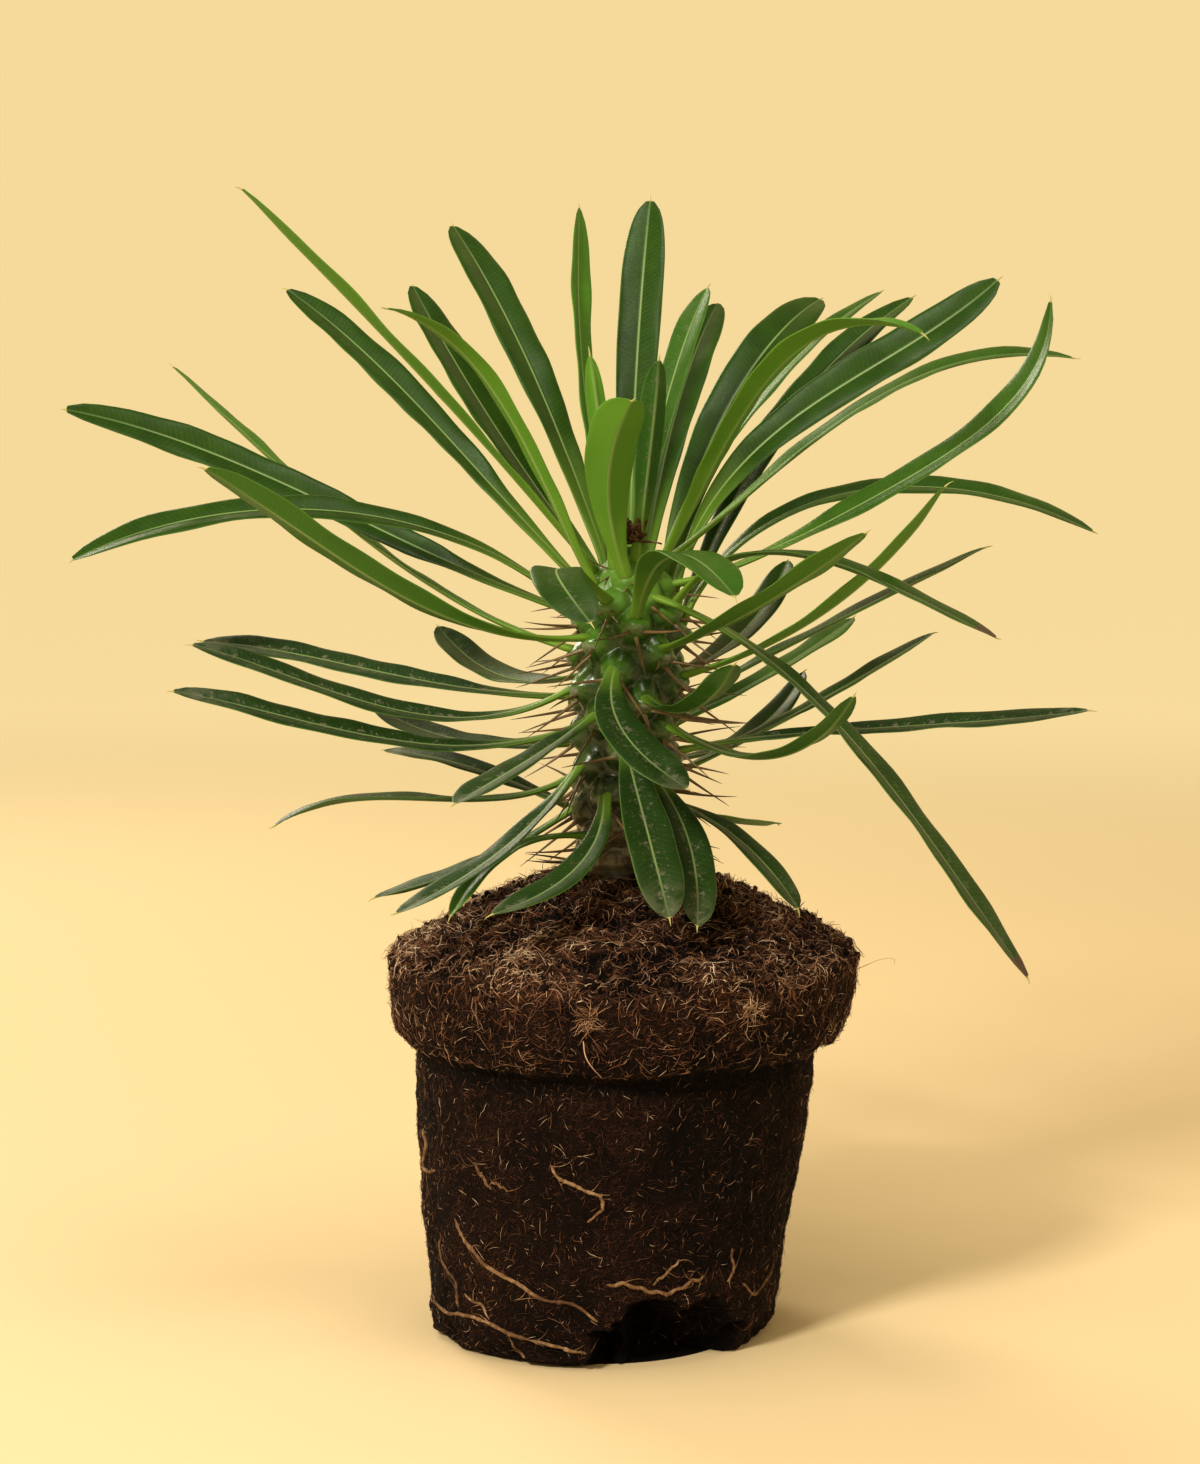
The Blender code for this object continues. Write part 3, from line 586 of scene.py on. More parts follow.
leaves = [
    (0, 9.0, 0, [(14, 8, 240), (24, 24, 267)]),
    (1, 7.5, 0, [(9, -10, 228), (11, -14, 248)]),
    (2, 9.0, 44, [(-8, 14, 244), (-9, 34, 288)]),
    (3, 10.5, 15, [(40, 0, 220), (76, -3, 244), (114, -8, 249)]),
    (4, 5.0, 40, [(-3, -16, 226), (-6, -20, 249)]),
    (5, 11.5, 0, [(6, 36, 246), (10, 66, 292)]),
    (6, 10.5, 0, [(26, -22, 226), (51, -48, 255), (71, -62, 254)]),
    (7, 10.0, 0, [(-48, -14, 245), (-90, -30, 289)]),
    (8, 9.0, 0, [(38, 24, 239), (71, 48, 267)]),
    (9, 12.5, 0, [(-1.5, -24, 216), (4, -48, 238)]),
    (10, 12.5, 0, [(-25, 45, 253), (-44, 80, 286)]),
    (11, 11.0, 35, [(48, -8, 205), (79, -18, 223), (98, -24, 239), (106, -28, 262)]),
    (12, 7.5, 0, [(-22, -20, 228), (-41, -36, 254), (-54, -48, 260)]),
    (13, 11.5, 0, [(18, 52, 239), (29, 88, 265)]),
    (14, 11.0, 0, [(27, -22, 182), (57, -46, 157), (83, -56, 123), (98, -60, 102)]),
    (15, 11.0, -20, [(-37, 20, 222), (-62, 42, 247), (-88, 62, 268)]),
    (16, 12.5, 42, [(35, 14, 224), (73, 34, 250), (102, 46, 270)]),
    (17, 13.0, 0, [(-14, -46, 197), (-6, -66, 187)]),
    (18, 12.0, 0, [(-35, 55, 236), (-56, 92, 270)]),
    (19, 11.0, 0, [(36, -22, 201), (64, -38, 195), (91, -48, 182)]),
    (20, 11.0, -30, [(-44, -2, 205), (-82, -4, 211), (-135, -14, 199)]),
    (21, 13.0, 22, [(23, 26, 222), (41, 52, 252), (57, 78, 266)]),
    (22, 13.0, 0, [(15, -51, 202), (27, -80, 194)]),
    (23, 11.0, -45, [(-50, 16, 200), (-93, 20, 220), (-140, 10, 236)]),
    (24, 10.5, 22, [(43, 8, 209), (83, 14, 216), (123, 12, 205)]),
    (25, 11.0, 25, [(-36, -18, 183), (-69, -34, 202), (-97, -50, 222)]),
    (26, 10.5, 0, [(6, 50, 190), (12, 92, 186)]),
    (27, 10.5, 0, [(30, -46, 187), (57, -78, 208)]),
    (28, 8.5, 10, [(-50, 22, 192), (-86, 36, 219), (-118, 52, 247)]),
    (29, 11.5, 10, [(50, 42, 239), (81, 66, 266)]),
    (30, 13.5, 0, [(2, -36, 158), (17, -50, 146)]),
    (31, 11.0, -10, [(-31, 44, 165), (-48, 68, 176)]),
    (32, 9.0, 0, [(55, -16, 188), (81, -24, 217)]),
    (33, 9.5, -22, [(-42, -2, 158), (-80, -6, 168), (-106, -8, 177)]),
    (34, 10.5, 0, [(33, 42, 175), (48, 70, 194)]),
    (35, 10.0, 0, [(19, -38, 164), (28, -58, 176)]),
    (36, 9.5, -25, [(-42, 10, 165), (-82, 22, 172), (-108, 30, 175)]),
    (37, 9.0, 0, [(56, 12, 181), (96, 20, 200)]),
    (38, 10.0, 0, [(-23, -38, 150), (-38, -56, 143)]),
    (39, 10.0, 0, [(-5, 45, 160), (-8, 85, 150)]),
    (40, 9.0, 0, [(29, -32, 152), (45, -58, 157), (55, -74, 170)]),
    (41, 9.5, -25, [(-42, -4, 151), (-79, -10, 158), (-110, -16, 166)]),
    (42, 10.0, 0, [(43, 24, 168), (64, 44, 180)]),
    (43, 12.5, 0, [(7, -36, 137), (13, -52, 115)]),
    (44, 9.5, -15, [(-38, 24, 149), (-64, 46, 156)]),
    (45, 9.5, 16, [(48, 6, 153), (86, 2, 156), (120, -4, 160)]),
    (46, 10.0, 0, [(-30, -28, 126), (-53, -40, 114)]),
    (47, 9.0, 0, [(36, 38, 149), (52, 60, 164)]),
    (48, 10.0, 0, [(18, -30, 131), (20, -46, 112)]),
    (49, 8.5, 0, [(-39, -2, 137), (-70, -5, 137), (-86, -6, 131)]),
    (50, 9.0, 0, [(45, 16, 156), (84, 30, 177)]),
    (51, 10.0, 0, [(-10, -38, 124), (-29, -54, 116)]),
    (53, 10.0, 0, [(30, -20, 130), (45, -32, 114)]),
    (54, 10.0, 0, [(-36, -10, 121), (-60, -16, 114)]),
    (55, 8.0, 0, [(32, 24, 128), (44, 42, 125)]),
    (57, 9.0, -10, [(-37, 24, 142), (-61, 40, 145)]),
    (59, 7.0, 0, [(-22, -18, 128), (-40, -36, 113)]),
]

blade = {
    "fold": 0.22, "petiole": 2.3, "petioleDepth": 1.9, "sunk": 2.2, "footRise": 1.5,
    "stations": 42, "pointLength": 2.3, "pointRows": 5, "flare": 1.2,
    "thick": 0.27, "ridge": 0.42, "groove": 0.16, "stalk": 0.3, "widest": 0.68, "bluntFrom": 0.76,
    "young": {0: 0.3, 2: 0.75, 4: 0.8, 6: 0.75, 7: 0.65, 9: 0.85, 12: 0.8, 22: 0.25, 25: 0.2, 27: 0.4,
              28: 0.6, 32: 0.65, 42: 0.5, 55: 0.8, 59: 0.9, 11: 0.2, 3: 0.15, 8: 0.15, 13: 0.1, 24: 0.15},
    "aged": {17: 0.3, 30: 0.75, 31: 0.45, 33: 0.9, 36: 0.9, 41: 0.9, 44: 0.8, 45: 0.9, 49: 0.8, 57: 0.9,
             38: 0.8, 54: 0.8, 46: 0.8, 51: 0.6, 43: 0.8, 48: 0.75, 53: 0.6, 1: 0.7, 0: 0.4,
             35: 0.4, 14: 0.35},
    "folded": {9: 0.62, 6: 0.34, 32: 0.40, 25: 0.30, 2: 0.30, 35: 0.34, 30: 0.16, 17: 0.12},
    "burnt": {14: 1.3, 19: 1.2, 20: 0.25, 23: 0.2},
}


def leafHalf(t, width):
    rise = np.sin(math.pi / 2 * np.minimum(1.0, t / blade["widest"])) ** 1.25
    half = (blade["petiole"] + (width - blade["petiole"]) * rise) / 2
    blunt = np.sqrt(np.maximum(0.0, 1.0 - np.clip((t - blade["bluntFrom"]) / 0.245, 0.0, 1.0) ** 2.3))
    return np.maximum(half * blunt, 0.25)


def leafRoute(leaf):
    slot, points = leaf[0], leaf[3]
    azimuth, z = slotPlace(slot)
    steep = max(0.0, 1.0 - slot / stem["crownSlots"])
    foot = stemPoint(azimuth, z + blade["footRise"] * (1 - steep), -blade["sunk"] * (1 - steep))
    foot[2] -= blade["sunk"] * steep
    return np.array([foot] + [(x + stem["footX"], y, z) for x, y, z in points], dtype=float)


def ribPlace(route, t):
    # the one smooth curve through all the rib's points
    steps = np.linalg.norm(np.diff(route, axis=0), axis=1)
    marks = np.concatenate(([0.0], np.cumsum(steps))) / steps.sum()
    place = np.zeros((len(t), 3))
    for i, point in enumerate(route):
        weight = np.ones(len(t))
        for k, mark in enumerate(marks):
            if k != i:
                weight *= (t - mark) / (marks[i] - mark)
        place += weight[:, None] * point
    return place


def leafFrames(leaf, t):
    route = leafRoute(leaf)
    level = route[-1] - route[0]
    side = unit(np.cross((0.0, 0.0, 1.0), (level[0], level[1], 0.0)))
    place = ribPlace(route, t)
    along = unit(ribPlace(route, t + 0.01) - ribPlace(route, t - 0.01))
    normal = unit(np.cross(along, side))
    across = unit(np.cross(normal, along))
    turn = (math.radians(leaf[2]) * np.minimum(1.0, t / 0.35))[:, None]
    return place, along, across * np.cos(turn) + np.cross(along, across) * np.sin(turn), \
        normal * np.cos(turn) + np.cross(along, normal) * np.sin(turn)


def makeLeaf(leaf, finish):
    slot, width = leaf[:2]
    rng = random.Random(100 + slot)
    t = np.linspace(0.0, 1.0, blade["stations"])
    t = t + 0.035 * np.sin(2 * math.pi * t) / (2 * math.pi) * 2  # a little closer at both ends
    place, along, side, normal = leafFrames(leaf, t)
    half = leafHalf(t, width)
    stalk = np.maximum(0.0, 1.0 - t / blade["stalk"])
    run = np.concatenate(([0.0], np.cumsum(np.linalg.norm(np.diff(place, axis=0), axis=1))))
    upper = np.array([1, 0.94, 0.78, 0.54, 0.32, 0.14, 0, -0.14, -0.32, -0.54, -0.78, -0.94, -1])
    u = np.concatenate((upper, upper[-2:0:-1]))
    face = np.concatenate((np.ones(len(upper)), -np.ones(len(upper) - 2)))
    face[0] = face[len(upper) - 1] = 0.0
    flare = blade["flare"] * np.exp(-((run - 2.0) / 3.2) ** 2)
    x = (half + flare * 0.5)[:, None] * u
    swell = np.exp(-(x / 0.62) ** 2)
    bladeThick = blade["thick"] * (1 - 0.35 * np.abs(u) ** 3)
    thick = np.where(face > 0, bladeThick - blade["groove"] * swell, bladeThick + blade["ridge"] * swell)
    tip = np.clip((1.0 - t) / 0.12, 0.25, 1.0)[:, None]
    thick = thick * tip
    roundStalk = (blade["petioleDepth"] + 0.5 * flare[:, None]) / 2 * np.sqrt(np.maximum(0.0, 1 - u ** 2))
    roundStalk = roundStalk * np.where(face > 0, 0.75, 1.1)
    thick = thick + (roundStalk - thick) * (stalk[:, None] ** 0.8)
    thick = thick * np.abs(face)
    opened = (1 - stalk)[:, None]
    lift = blade["folded"].get(slot, blade["fold"]) * half[:, None] * opened * np.abs(u) ** 1.15
    lift -= 0.06 * half[:, None] * opened * np.clip(np.abs(u) - 0.7, 0.0, 1.0) / 0.3
    # soft waves along each margin
    for sign in (1, -1):
        wave = 0.32 * np.sin(run / rng.uniform(5.0, 8.5) + rng.uniform(0, 6.28))
        wave = wave + 0.16 * np.sin(run / rng.uniform(2.2, 3.6))
        lift += wave[:, None] * opened ** 2 * np.clip(sign * u, 0.0, 1.0) ** 2 * tip
    spot = place[:, None] + side[:, None] * x[..., None] + normal[:, None] * (lift + thick * face)[..., None]
    # the hard point beyond the blade, bent a little down
    rows = blade["pointRows"]
    s = np.linspace(0.0, 1.0, rows + 1)[1:]
    length = blade["pointLength"] * rng.uniform(0.8, 1.25) * (0.7 if slot in blade["burnt"] else 1.0)
    hook = rng.uniform(-0.15, 0.5)
    core = place[-1] + along[-1] * (length * s)[:, None] - normal[-1] * (hook * length * s ** 2)[:, None]
    angle = np.arctan2(face * 0.55, u)
    size = 0.24 * (1 - s) ** 0.8 + 0.05
    circle = side[-1] * np.cos(angle)[:, None] + normal[-1] * np.sin(angle)[:, None]
    spot = np.concatenate((spot, core[:, None] + circle[None] * size[:, None, None]))
    count, sides = spot.shape[:2]
    piece = meshPiece("leafBlade_%02d" % (slot + 1), spot, skinFaces(count, sides)[:, ::-1], finish)
    # what the material reads: over the blade, then on the hard point
    footEnd = 0.24 + 0.16 * max(0.0, 1 - slot / 34)  # young leaves stay pale further up
    foot = np.clip(1 - t / footEnd, 0.0, 1.0)[:, None]
    singe = blade["burnt"].get(slot, 0.0) * np.clip(1 - (run[-1] - run) / 9.0, 0.0, 1.0)[:, None]
    young, aged = (blade[name].get(slot, 0.0) for name in ("young", "aged"))
    for name, over, beyond in (
            ("rim", np.abs(u), 0.3), ("along", t[:, None], 1.0), ("under", 0.5 - 0.5 * face, 0.5),
            ("foot", foot, 0.0), ("point", 0.0, 1.0), ("young", young, young), ("aged", aged, aged),
            ("burnt", singe, 0.0)):
        over = over * np.ones((len(t), sides))
        paint(piece, name, np.concatenate((over, np.full((rows, sides), beyond))))
    unwrap(piece, "blade", np.concatenate((x, np.zeros((rows, sides)))).ravel() / 100.0,
           np.repeat(np.concatenate((run, np.full(rows, run[-1]))), sides) / 100.0)
    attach(piece, "root")
    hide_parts("leaf_%02d" % (slot + 1))


leafGreen = leafFinish()
for leaf in leaves:
    makeLeaf(leaf, leafGreen)
print("leaves ready:", len(leaves))


# spines: three to a knob, turned aside where a blade is in the way

spines = {
    "seed": 7, "length": (14.0, 19.0), "radius": 0.68, "drop": 1.5, "sunk": 1.6,
    "lowest": 119.0, "beside": 1.2, "over": 2.2,
    "fans": [(-40.0, -4.0), (40.0, -8.0), (4.0, -34.0)],
    "turns": (0.0, 14.0, -14.0, 28.0, -28.0, 44.0), "rows": 9, "sides": 7,
}
ribStations = np.array([0.0, 0.07, 0.16, 0.28, 0.41, 0.54, 0.67, 0.79, 0.89, 0.96, 1.0])


def bladeSamples():
    rows = []
    for leaf in leaves:
        place, along, side, normal = leafFrames(leaf, ribStations)
        half = np.maximum(leafHalf(ribStations, leaf[1]), 0.55)
        for k in range(1, len(ribStations)):
            for s in (0.0, 0.5):
                spot = place[k - 1] + (place[k] - place[k - 1]) * s
                if np.linalg.norm(spot - place[0]) >= blade["sunk"]:
                    step = np.linalg.norm(place[k] - place[k - 1]) * 0.5
                    rows.append(np.concatenate((spot, along[k], side[k], normal[k], [half[k], step])))
    return np.array(rows)


def spineBlocked(start, heading, length, samples):
    for s in np.linspace(0.1, 1.0, 8):
        offset = start + heading * (length * s) - samples[:, :3]
        along, across, above = (np.abs(np.sum(offset * samples[:, c:c + 3], axis=1)) for c in (3, 6, 9))
        close = (across < samples[:, 12] + spines["beside"]) & (above < spines["over"])
        if (close & (along < samples[:, 13])).any():
            return True
    return False


def makeSpines(finish):
    rng = random.Random(spines["seed"])
    samples = bladeSamples()
    starts, headings, lengths, sizes = [], [], [], []
    for index in range(stem["firstCushion"], stem["lastSlot"] + 1):
        azimuth, z = slotPlace(index)
        size = cushionSize(index)
        for side, rise in spines["fans"]:
            length = size * rng.uniform(*spines["length"])
            wobble = rng.uniform(-7.0, 7.0)
            start = stemPoint(azimuth + 0.10 * side, z - spines["drop"] + 0.03 * rise, -spines["sunk"])
            for turn in spines["turns"]:
                heading = direction(azimuth + side + wobble, rise + turn)
                clear = start[2] + heading[2] * length > spines["lowest"]
                if clear and not spineBlocked(start, heading, length + spines["sunk"], samples):
                    starts.append(start)
                    headings.append(heading)
                    lengths.append(length + spines["sunk"])
                    sizes.append(size)
                    break
    starts, headings = np.array(starts), np.array(headings)
    lengths, sizes = np.array(lengths), np.array(sizes)
    draw = np.random.default_rng(spines["seed"])
    s = np.linspace(0.0, 1.0, spines["rows"])
    bend = unit(np.cross(headings, draw.normal(size=headings.shape)))
    bow = (draw.uniform(-0.05, 0.05, len(starts)) * lengths)[:, None] * (s * (1 - s) * 4)
    paths = starts[:, None] + headings[:, None] * (lengths[:, None] * s)[..., None]
    paths = paths + bend[:, None] * bow[..., None]
    taper = 0.07 + 0.93 * (1 - s) ** 0.85 + 0.5 * np.exp(-(s / 0.10) ** 2)
    radii = spines["radius"] * (0.55 + 0.45 * sizes)[:, None] * taper * 0.78
    verts, faces = tubes(paths, radii, spines["sides"], draw)
    piece = meshPiece("stemSpines", verts, faces, finish)
    paint(piece, "along", np.tile(np.repeat(s, spines["sides"]), len(starts)))
    paint(piece, "tone", np.repeat(draw.uniform(-0.5, 0.5, len(starts)), len(s) * spines["sides"]))
    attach(piece, "root")
    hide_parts("stem")
    print("spines ready:", len(starts))


makeSpines(spineFinish())


# root ball

ball = {
    "outline": [
        (119.0, 0.0), (118.0, 8.0), (117.0, 13.0), (116.0, 22.0), (112.0, 33.0), (105.5, 46.0), (100.0, 56.0),
        (98.2, 58.6), (96.4, 59.7), (88.0, 59.4), (82.0, 58.5), (79.0, 57.2), (77.2, 56.0), (76.4, 54.4),
        (76.0, 52.4), (74.0, 50.9), (68.0, 50.9), (52.0, 49.7), (26.0, 46.7), (5.0, 44.5),
        (1.6, 43.6), (0.4, 41.5), (0.0, 38.0), (0.0, 0.0)],
    "lean": 0.062, "rings": 235, "sides": 300,
    "breakCentre": (22.0, -42.0, 5.0), "breakSize": (22.0, 17.0, 13.0),
}


def ballGrid():
    # displaced surface as a grid of points: rows from the top down to the base, sides round it
    z, r = np.array(ball["outline"]).T
    run = np.concatenate(([0.0], np.cumsum(np.hypot(np.diff(z), np.diff(r)))))
    # rows where they count
    weight = np.interp(run, [0, 12, 60, 100, run[-2], run[-1]], [0, 8, 60, 120, 215, 232])
    rows = np.interp(np.linspace(0, weight[-1], ball["rings"]), weight, run)
    rows[0], rows[-1] = run[0] + 0.6, run[-1] - 0.6
    zz, rr = np.interp(rows, run, z), np.interp(rows, run, r)
    turn = np.arange(ball["sides"]) * 2 * math.pi / ball["sides"]

    def swing(out, up):
        # a profile turned round the upright axis
        flat = (out[:, None] * np.cos(turn), out[:, None] * np.sin(turn))
        return np.stack((*flat, up[:, None] * np.ones(ball["sides"])), -1)

    spot = swing(rr, zz)
    normal = unit(swing(-np.gradient(zz, rows), np.gradient(rr, rows)))
    flat = spot.reshape(-1, 3)
    noise = lambda size, seed: latticeNoise(flat, size, seed).reshape(spot.shape[:2])
    mound = np.clip((zz - 95.0) / 4.0, 0, 1)[:, None]
    collar = (np.clip((zz - 74.5) / 2.0, 0, 1) * (1 - np.clip((zz - 95.0) / 4.0, 0, 1)))[:, None]
    body = 1 - mound - collar
    rough = 0.9 * noise(7.0, 1) + 0.7 * noise(3.0, 2) + 0.45 * noise(1.4, 3)
    clods = np.abs(noise(5.0, 11)) + 0.6 * np.abs(noise(2.3, 12))
    pushAndShade = mound * (0.9 * noise(11.0, 4) + 1.3 * rough + 1.9 * (clods - 0.5))
    pushAndShade = pushAndShade + collar * (0.5 * noise(9.0, 5) + 0.55 * rough)
    grain = 0.8 * noise(16.0, 6) + 0.5 * noise(5.0, 7) + 0.22 * noise(2.0, 8) + 0.16 * noise(1.1, 9)
    pushAndShade = pushAndShade + body * grain
    ragged = 0.6 * np.exp(-((zz - 77.0) / 2.2) ** 2) + 1.5 * np.exp(-((zz - 2.5) / 2.8) ** 2)
    pushAndShade = pushAndShade + ragged[:, None] * (0.9 * noise(2.6, 10) + 0.5 * noise(6.0, 13))
    pushAndShade = pushAndShade * np.clip(zz / 1.2, 0, 1)[:, None]
    spot = spot + normal * pushAndShade[..., None]
    spot[..., 0] += ball["lean"] * spot[..., 2]
    # the broken hollow: points inside it are pushed in to its far side
    out = direction(np.degrees(turn))[None] * np.ones((len(zz), 1, 1))
    uneven = 1 + 0.22 * noise(7.0, 14) + 0.12 * noise(2.5, 16)
    centre, size = np.array(ball["breakCentre"]), np.array(ball["breakSize"]) * uneven[..., None]
    q = (spot - centre) / size
    d = -out / size
    b = np.sum(q * d, -1)
    a = np.sum(d * d, -1)
    c = np.sum(q * q, -1) - 1
    reach = (-b + np.sqrt(np.maximum(b * b - a * c, 0))) / a
    hollow = (c < 0) & (zz[:, None] > 0.0)
    spot = np.where(hollow[..., None], spot - out * (reach + 0.6 * noise(2.2, 15))[..., None], spot)
    spot[..., 2] = np.maximum(spot[..., 2], 0.0)
    # painted shade: the broken hollow and a band under the collar's ledge are marked as deep for the
    # materials to darken; the surface is not moved by this
    pushAndShade = np.where(hollow, -1.4, pushAndShade) - 1.2 * np.exp(-((zz - 73.0) / 2.2) ** 2)[:, None]
    return spot, normal, pushAndShade, zz


def makeBall(finish):
    spot, normal, pushAndShade, zz = ballGrid()
    piece = meshPiece("rootBallCoir", spot, skinFaces(ball["rings"], ball["sides"])[:, ::-1], finish)
    paint(piece, "depthAndShade", pushAndShade)
    paint(piece, "top", np.interp(zz, (80.0, 92.0, 100.0), (0.0, 0.3, 1.0))[:, None] * np.ones(ball["sides"]))
    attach(piece, "root")
    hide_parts("root_ball")
    return spot, normal, pushAndShade, zz


ballSpot, ballNormal, ballPushAndShade, ballRowZ = makeBall(earthFinish())
rowSpan = np.linalg.norm(np.diff(ballSpot, axis=0), axis=-1).mean(axis=1)
rowRun = np.concatenate(([0.0], np.cumsum(rowSpan)))
level = ballSpot[..., :2]
rowRadius = np.linalg.norm(level - level.mean(axis=1, keepdims=True), axis=-1).mean(axis=1)
print("root ball ready")


def ballPoint(run, azimuth):
    # point and normal on the displaced surface, at a length down from the top and an azimuth
    row = np.interp(run, rowRun, np.arange(len(rowRun)))
    col = (azimuth % 360.0) / 360.0 * ball["sides"]
    i = np.clip(np.floor(row).astype(int), 0, len(rowRun) - 2)
    k = np.floor(col).astype(int) % ball["sides"]
    down, side = (row - i)[..., None], (col - np.floor(col))[..., None]
    n = (k + 1) % ball["sides"]

    def between(grid):
        near = grid[i, k] * (1 - down) + grid[i + 1, k] * down
        far = grid[i, n] * (1 - down) + grid[i + 1, n] * down
        return near * (1 - side) + far * side

    return between(ballSpot), unit(between(ballNormal))


def runAt(z):
    # length down the outline at which the collar or body has this height
    down = len(rowRun) - 1 - int(np.argmax(ballRowZ[::-1] > 0.0))
    return np.interp(-np.asarray(z, float), -ballRowZ[:down + 1], rowRun[:down + 1])


def smoothRoute(points, count):
    # Catmull-Rom through listed points
    p = np.array(points, float)
    p = np.vstack((2 * p[0] - p[1], p, 2 * p[-1] - p[-2]))
    marks = np.linspace(0, len(points) - 1.0001, count)
    i = marks.astype(int)
    f = (marks - i)[:, None]
    a, b, c, d = p[i], p[i + 1], p[i + 2], p[i + 3]
    return 0.5 * (2 * b + (c - a) * f + (2 * a - 5 * b + 4 * c - d) * f ** 2
                  + (3 * b - a - 3 * c + d) * f ** 3)


def joined(parts):
    # several (verts, faces) as one mesh
    starts = np.cumsum([0] + [len(verts) for verts, faces in parts])
    faces = [faces + start for (verts, faces), start in zip(parts, starts)]
    return np.concatenate([verts for verts, faces in parts]), np.concatenate(faces)


def scatter(rng, count, heights):
    # lengths down the surface, more where the ring is wider, so that the cover is even
    top, low = (float(runAt(z)) for z in heights)
    share = np.where((rowRun >= top) & (rowRun <= low), rowRadius, 0.0)
    return np.interp(rng.uniform(size=count), np.cumsum(share) / share.sum(), rowRun)


fibreTerms = ("heights", "count", "rows", "length", "radius", "lift", "curl", "pale")
fibres = {  # one lay to a row, in the order of the terms above
    "moundLoose": ((119.0, 97.0), 5000, 5, (2.0, 9.0), (0.045, 0.11), 0.9, 1.0, 0.62),
    "moundShort": ((119.0, 95.5), 7200, 3, (0.9, 3.6), (0.05, 0.17), 0.7, 0.5, 0.60),
    "collarLoose": ((98.0, 76.5), 2600, 5, (2.0, 7.0), (0.045, 0.10), 0.5, 0.8, 0.42),
    "collarShort": ((98.0, 76.5), 4700, 3, (0.9, 3.2), (0.045, 0.11), 0.4, 0.5, 0.38),
    "bodyLoose": ((74.5, 1.5), 2200, 5, (1.5, 5.0), (0.04, 0.075), 0.28, 0.6, 0.32),
    "bodyShort": ((74.5, 1.0), 10000, 3, (0.8, 3.0), (0.04, 0.085), 0.20, 0.4, 0.28),
}
nests = {  # pale tangles: azimuth, height and spread of each
    "places": [(301.0, 92.0, 1.1), (313.0, 96.5, 0.8), (239.0, 103.0, 1.0), (262.0, 91.0, 0.8)],
    "fibres": 70, "length": (1.5, 4.5), "tone": (0.66, 0.95),
}


def layFibres(name, seed, finish):
    rule = dict(zip(fibreTerms, fibres[name]))
    rng = np.random.default_rng(seed)
    count, rows = rule["count"], rule["rows"]
    top = float(runAt(rule["heights"][0]))
    pick = scatter(rng, count, rule["heights"])
    azimuth = rng.uniform(0.0, 360.0, count)
    tone = np.clip(rng.normal(rule["pale"], 0.22, count), 0.0, 1.0)
    tone = np.where(rng.uniform(size=count) < 0.04, rng.uniform(0.8, 1.0, count), tone)
    if name == "moundLoose":
        each = nests["fibres"]
        for i, (centre, z, spread) in enumerate(nests["places"]):
            knot = slice(i * each, i * each + each)
            pick[knot] = float(runAt(z)) + rng.normal(0.0, spread, each)
            azimuth[knot] = centre + rng.normal(0.0, spread, each)
            tone[knot] = rng.uniform(*nests["tone"], each)
    shortest, longest = rule["length"]
    length = shortest + (longest - shortest) * rng.uniform(size=count) ** 1.8
    if name == "moundLoose":
        knots = each * len(nests["places"])
        length[:knots] = rng.uniform(*nests["length"], knots)
    heading = rng.uniform(0.0, 2 * math.pi, count)
    s = np.linspace(-0.5, 0.5, rows)
    angle = heading[:, None] + rng.normal(0.0, rule["curl"], count)[:, None] * s
    step = length[:, None] * np.gradient(s)
    goRun = np.cumsum(np.cos(angle) * step, axis=1)
    goSide = np.cumsum(np.sin(angle) * step, axis=1)
    radius = np.maximum(np.interp(pick, rowRun, rowRadius), 6.0)[:, None]
    run = np.clip(pick[:, None] + goRun, max(top - 2.0, 0.0), float(runAt(0.6)))
    spot, normal = ballPoint(run, azimuth[:, None] + np.degrees(goSide / radius))
    # painted shade and light: fibres down in the hollows, in the broken hollow and under the collar's ledge
    # are darker, those on the lumps lighter
    row = np.interp(run[:, 0], rowRun, np.arange(len(rowRun))).astype(int)
    column = (azimuth % 360.0 / 360.0 * ball["sides"]).astype(int) % ball["sides"]
    tone = tone + 0.14 * np.clip(ballPushAndShade[row, column], -1.6, 1.2)
    lift = rule["lift"] * rng.uniform(size=count) ** 1.5
    rise = np.abs(rng.normal(0.0, rule["lift"] * 0.9, count)) * (rng.uniform(size=count) < 0.35)
    arch = rng.uniform(0.2, 1.0, count)
    height = lift[:, None] * (1 - arch[:, None] * (2 * s) ** 2)
    height = height + rise[:, None] * (s + 0.5) ** 1.5 * 1.6 + 0.05
    path = spot + normal * height[..., None] + rng.normal(0.0, 0.08, (count, rows, 3))
    path[..., 2] = np.maximum(path[..., 2], 0.15)
    taper = np.interp(np.linspace(0, 1, rows), (0, 0.3, 0.7, 1), (0.6, 1.0, 0.9, 0.3))
    verts, faces = tubes(path, rng.uniform(*rule["radius"], count)[:, None] * taper, 3, rng)
    piece = meshPiece("fibres_" + name, verts, faces, finish)
    # painted light: fibres on the left side of the ball, towards the key lamp, are paler
    paintedLeftLight = np.clip(-spot[:, rows // 2, 0] / 60.0, 0.0, 1.0) * 0.10
    paint(piece, "tone", np.repeat(np.clip(tone + paintedLeftLight, 0.0, 1.0), 3 * rows))
    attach(piece, "root")
    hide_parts("root_ball")


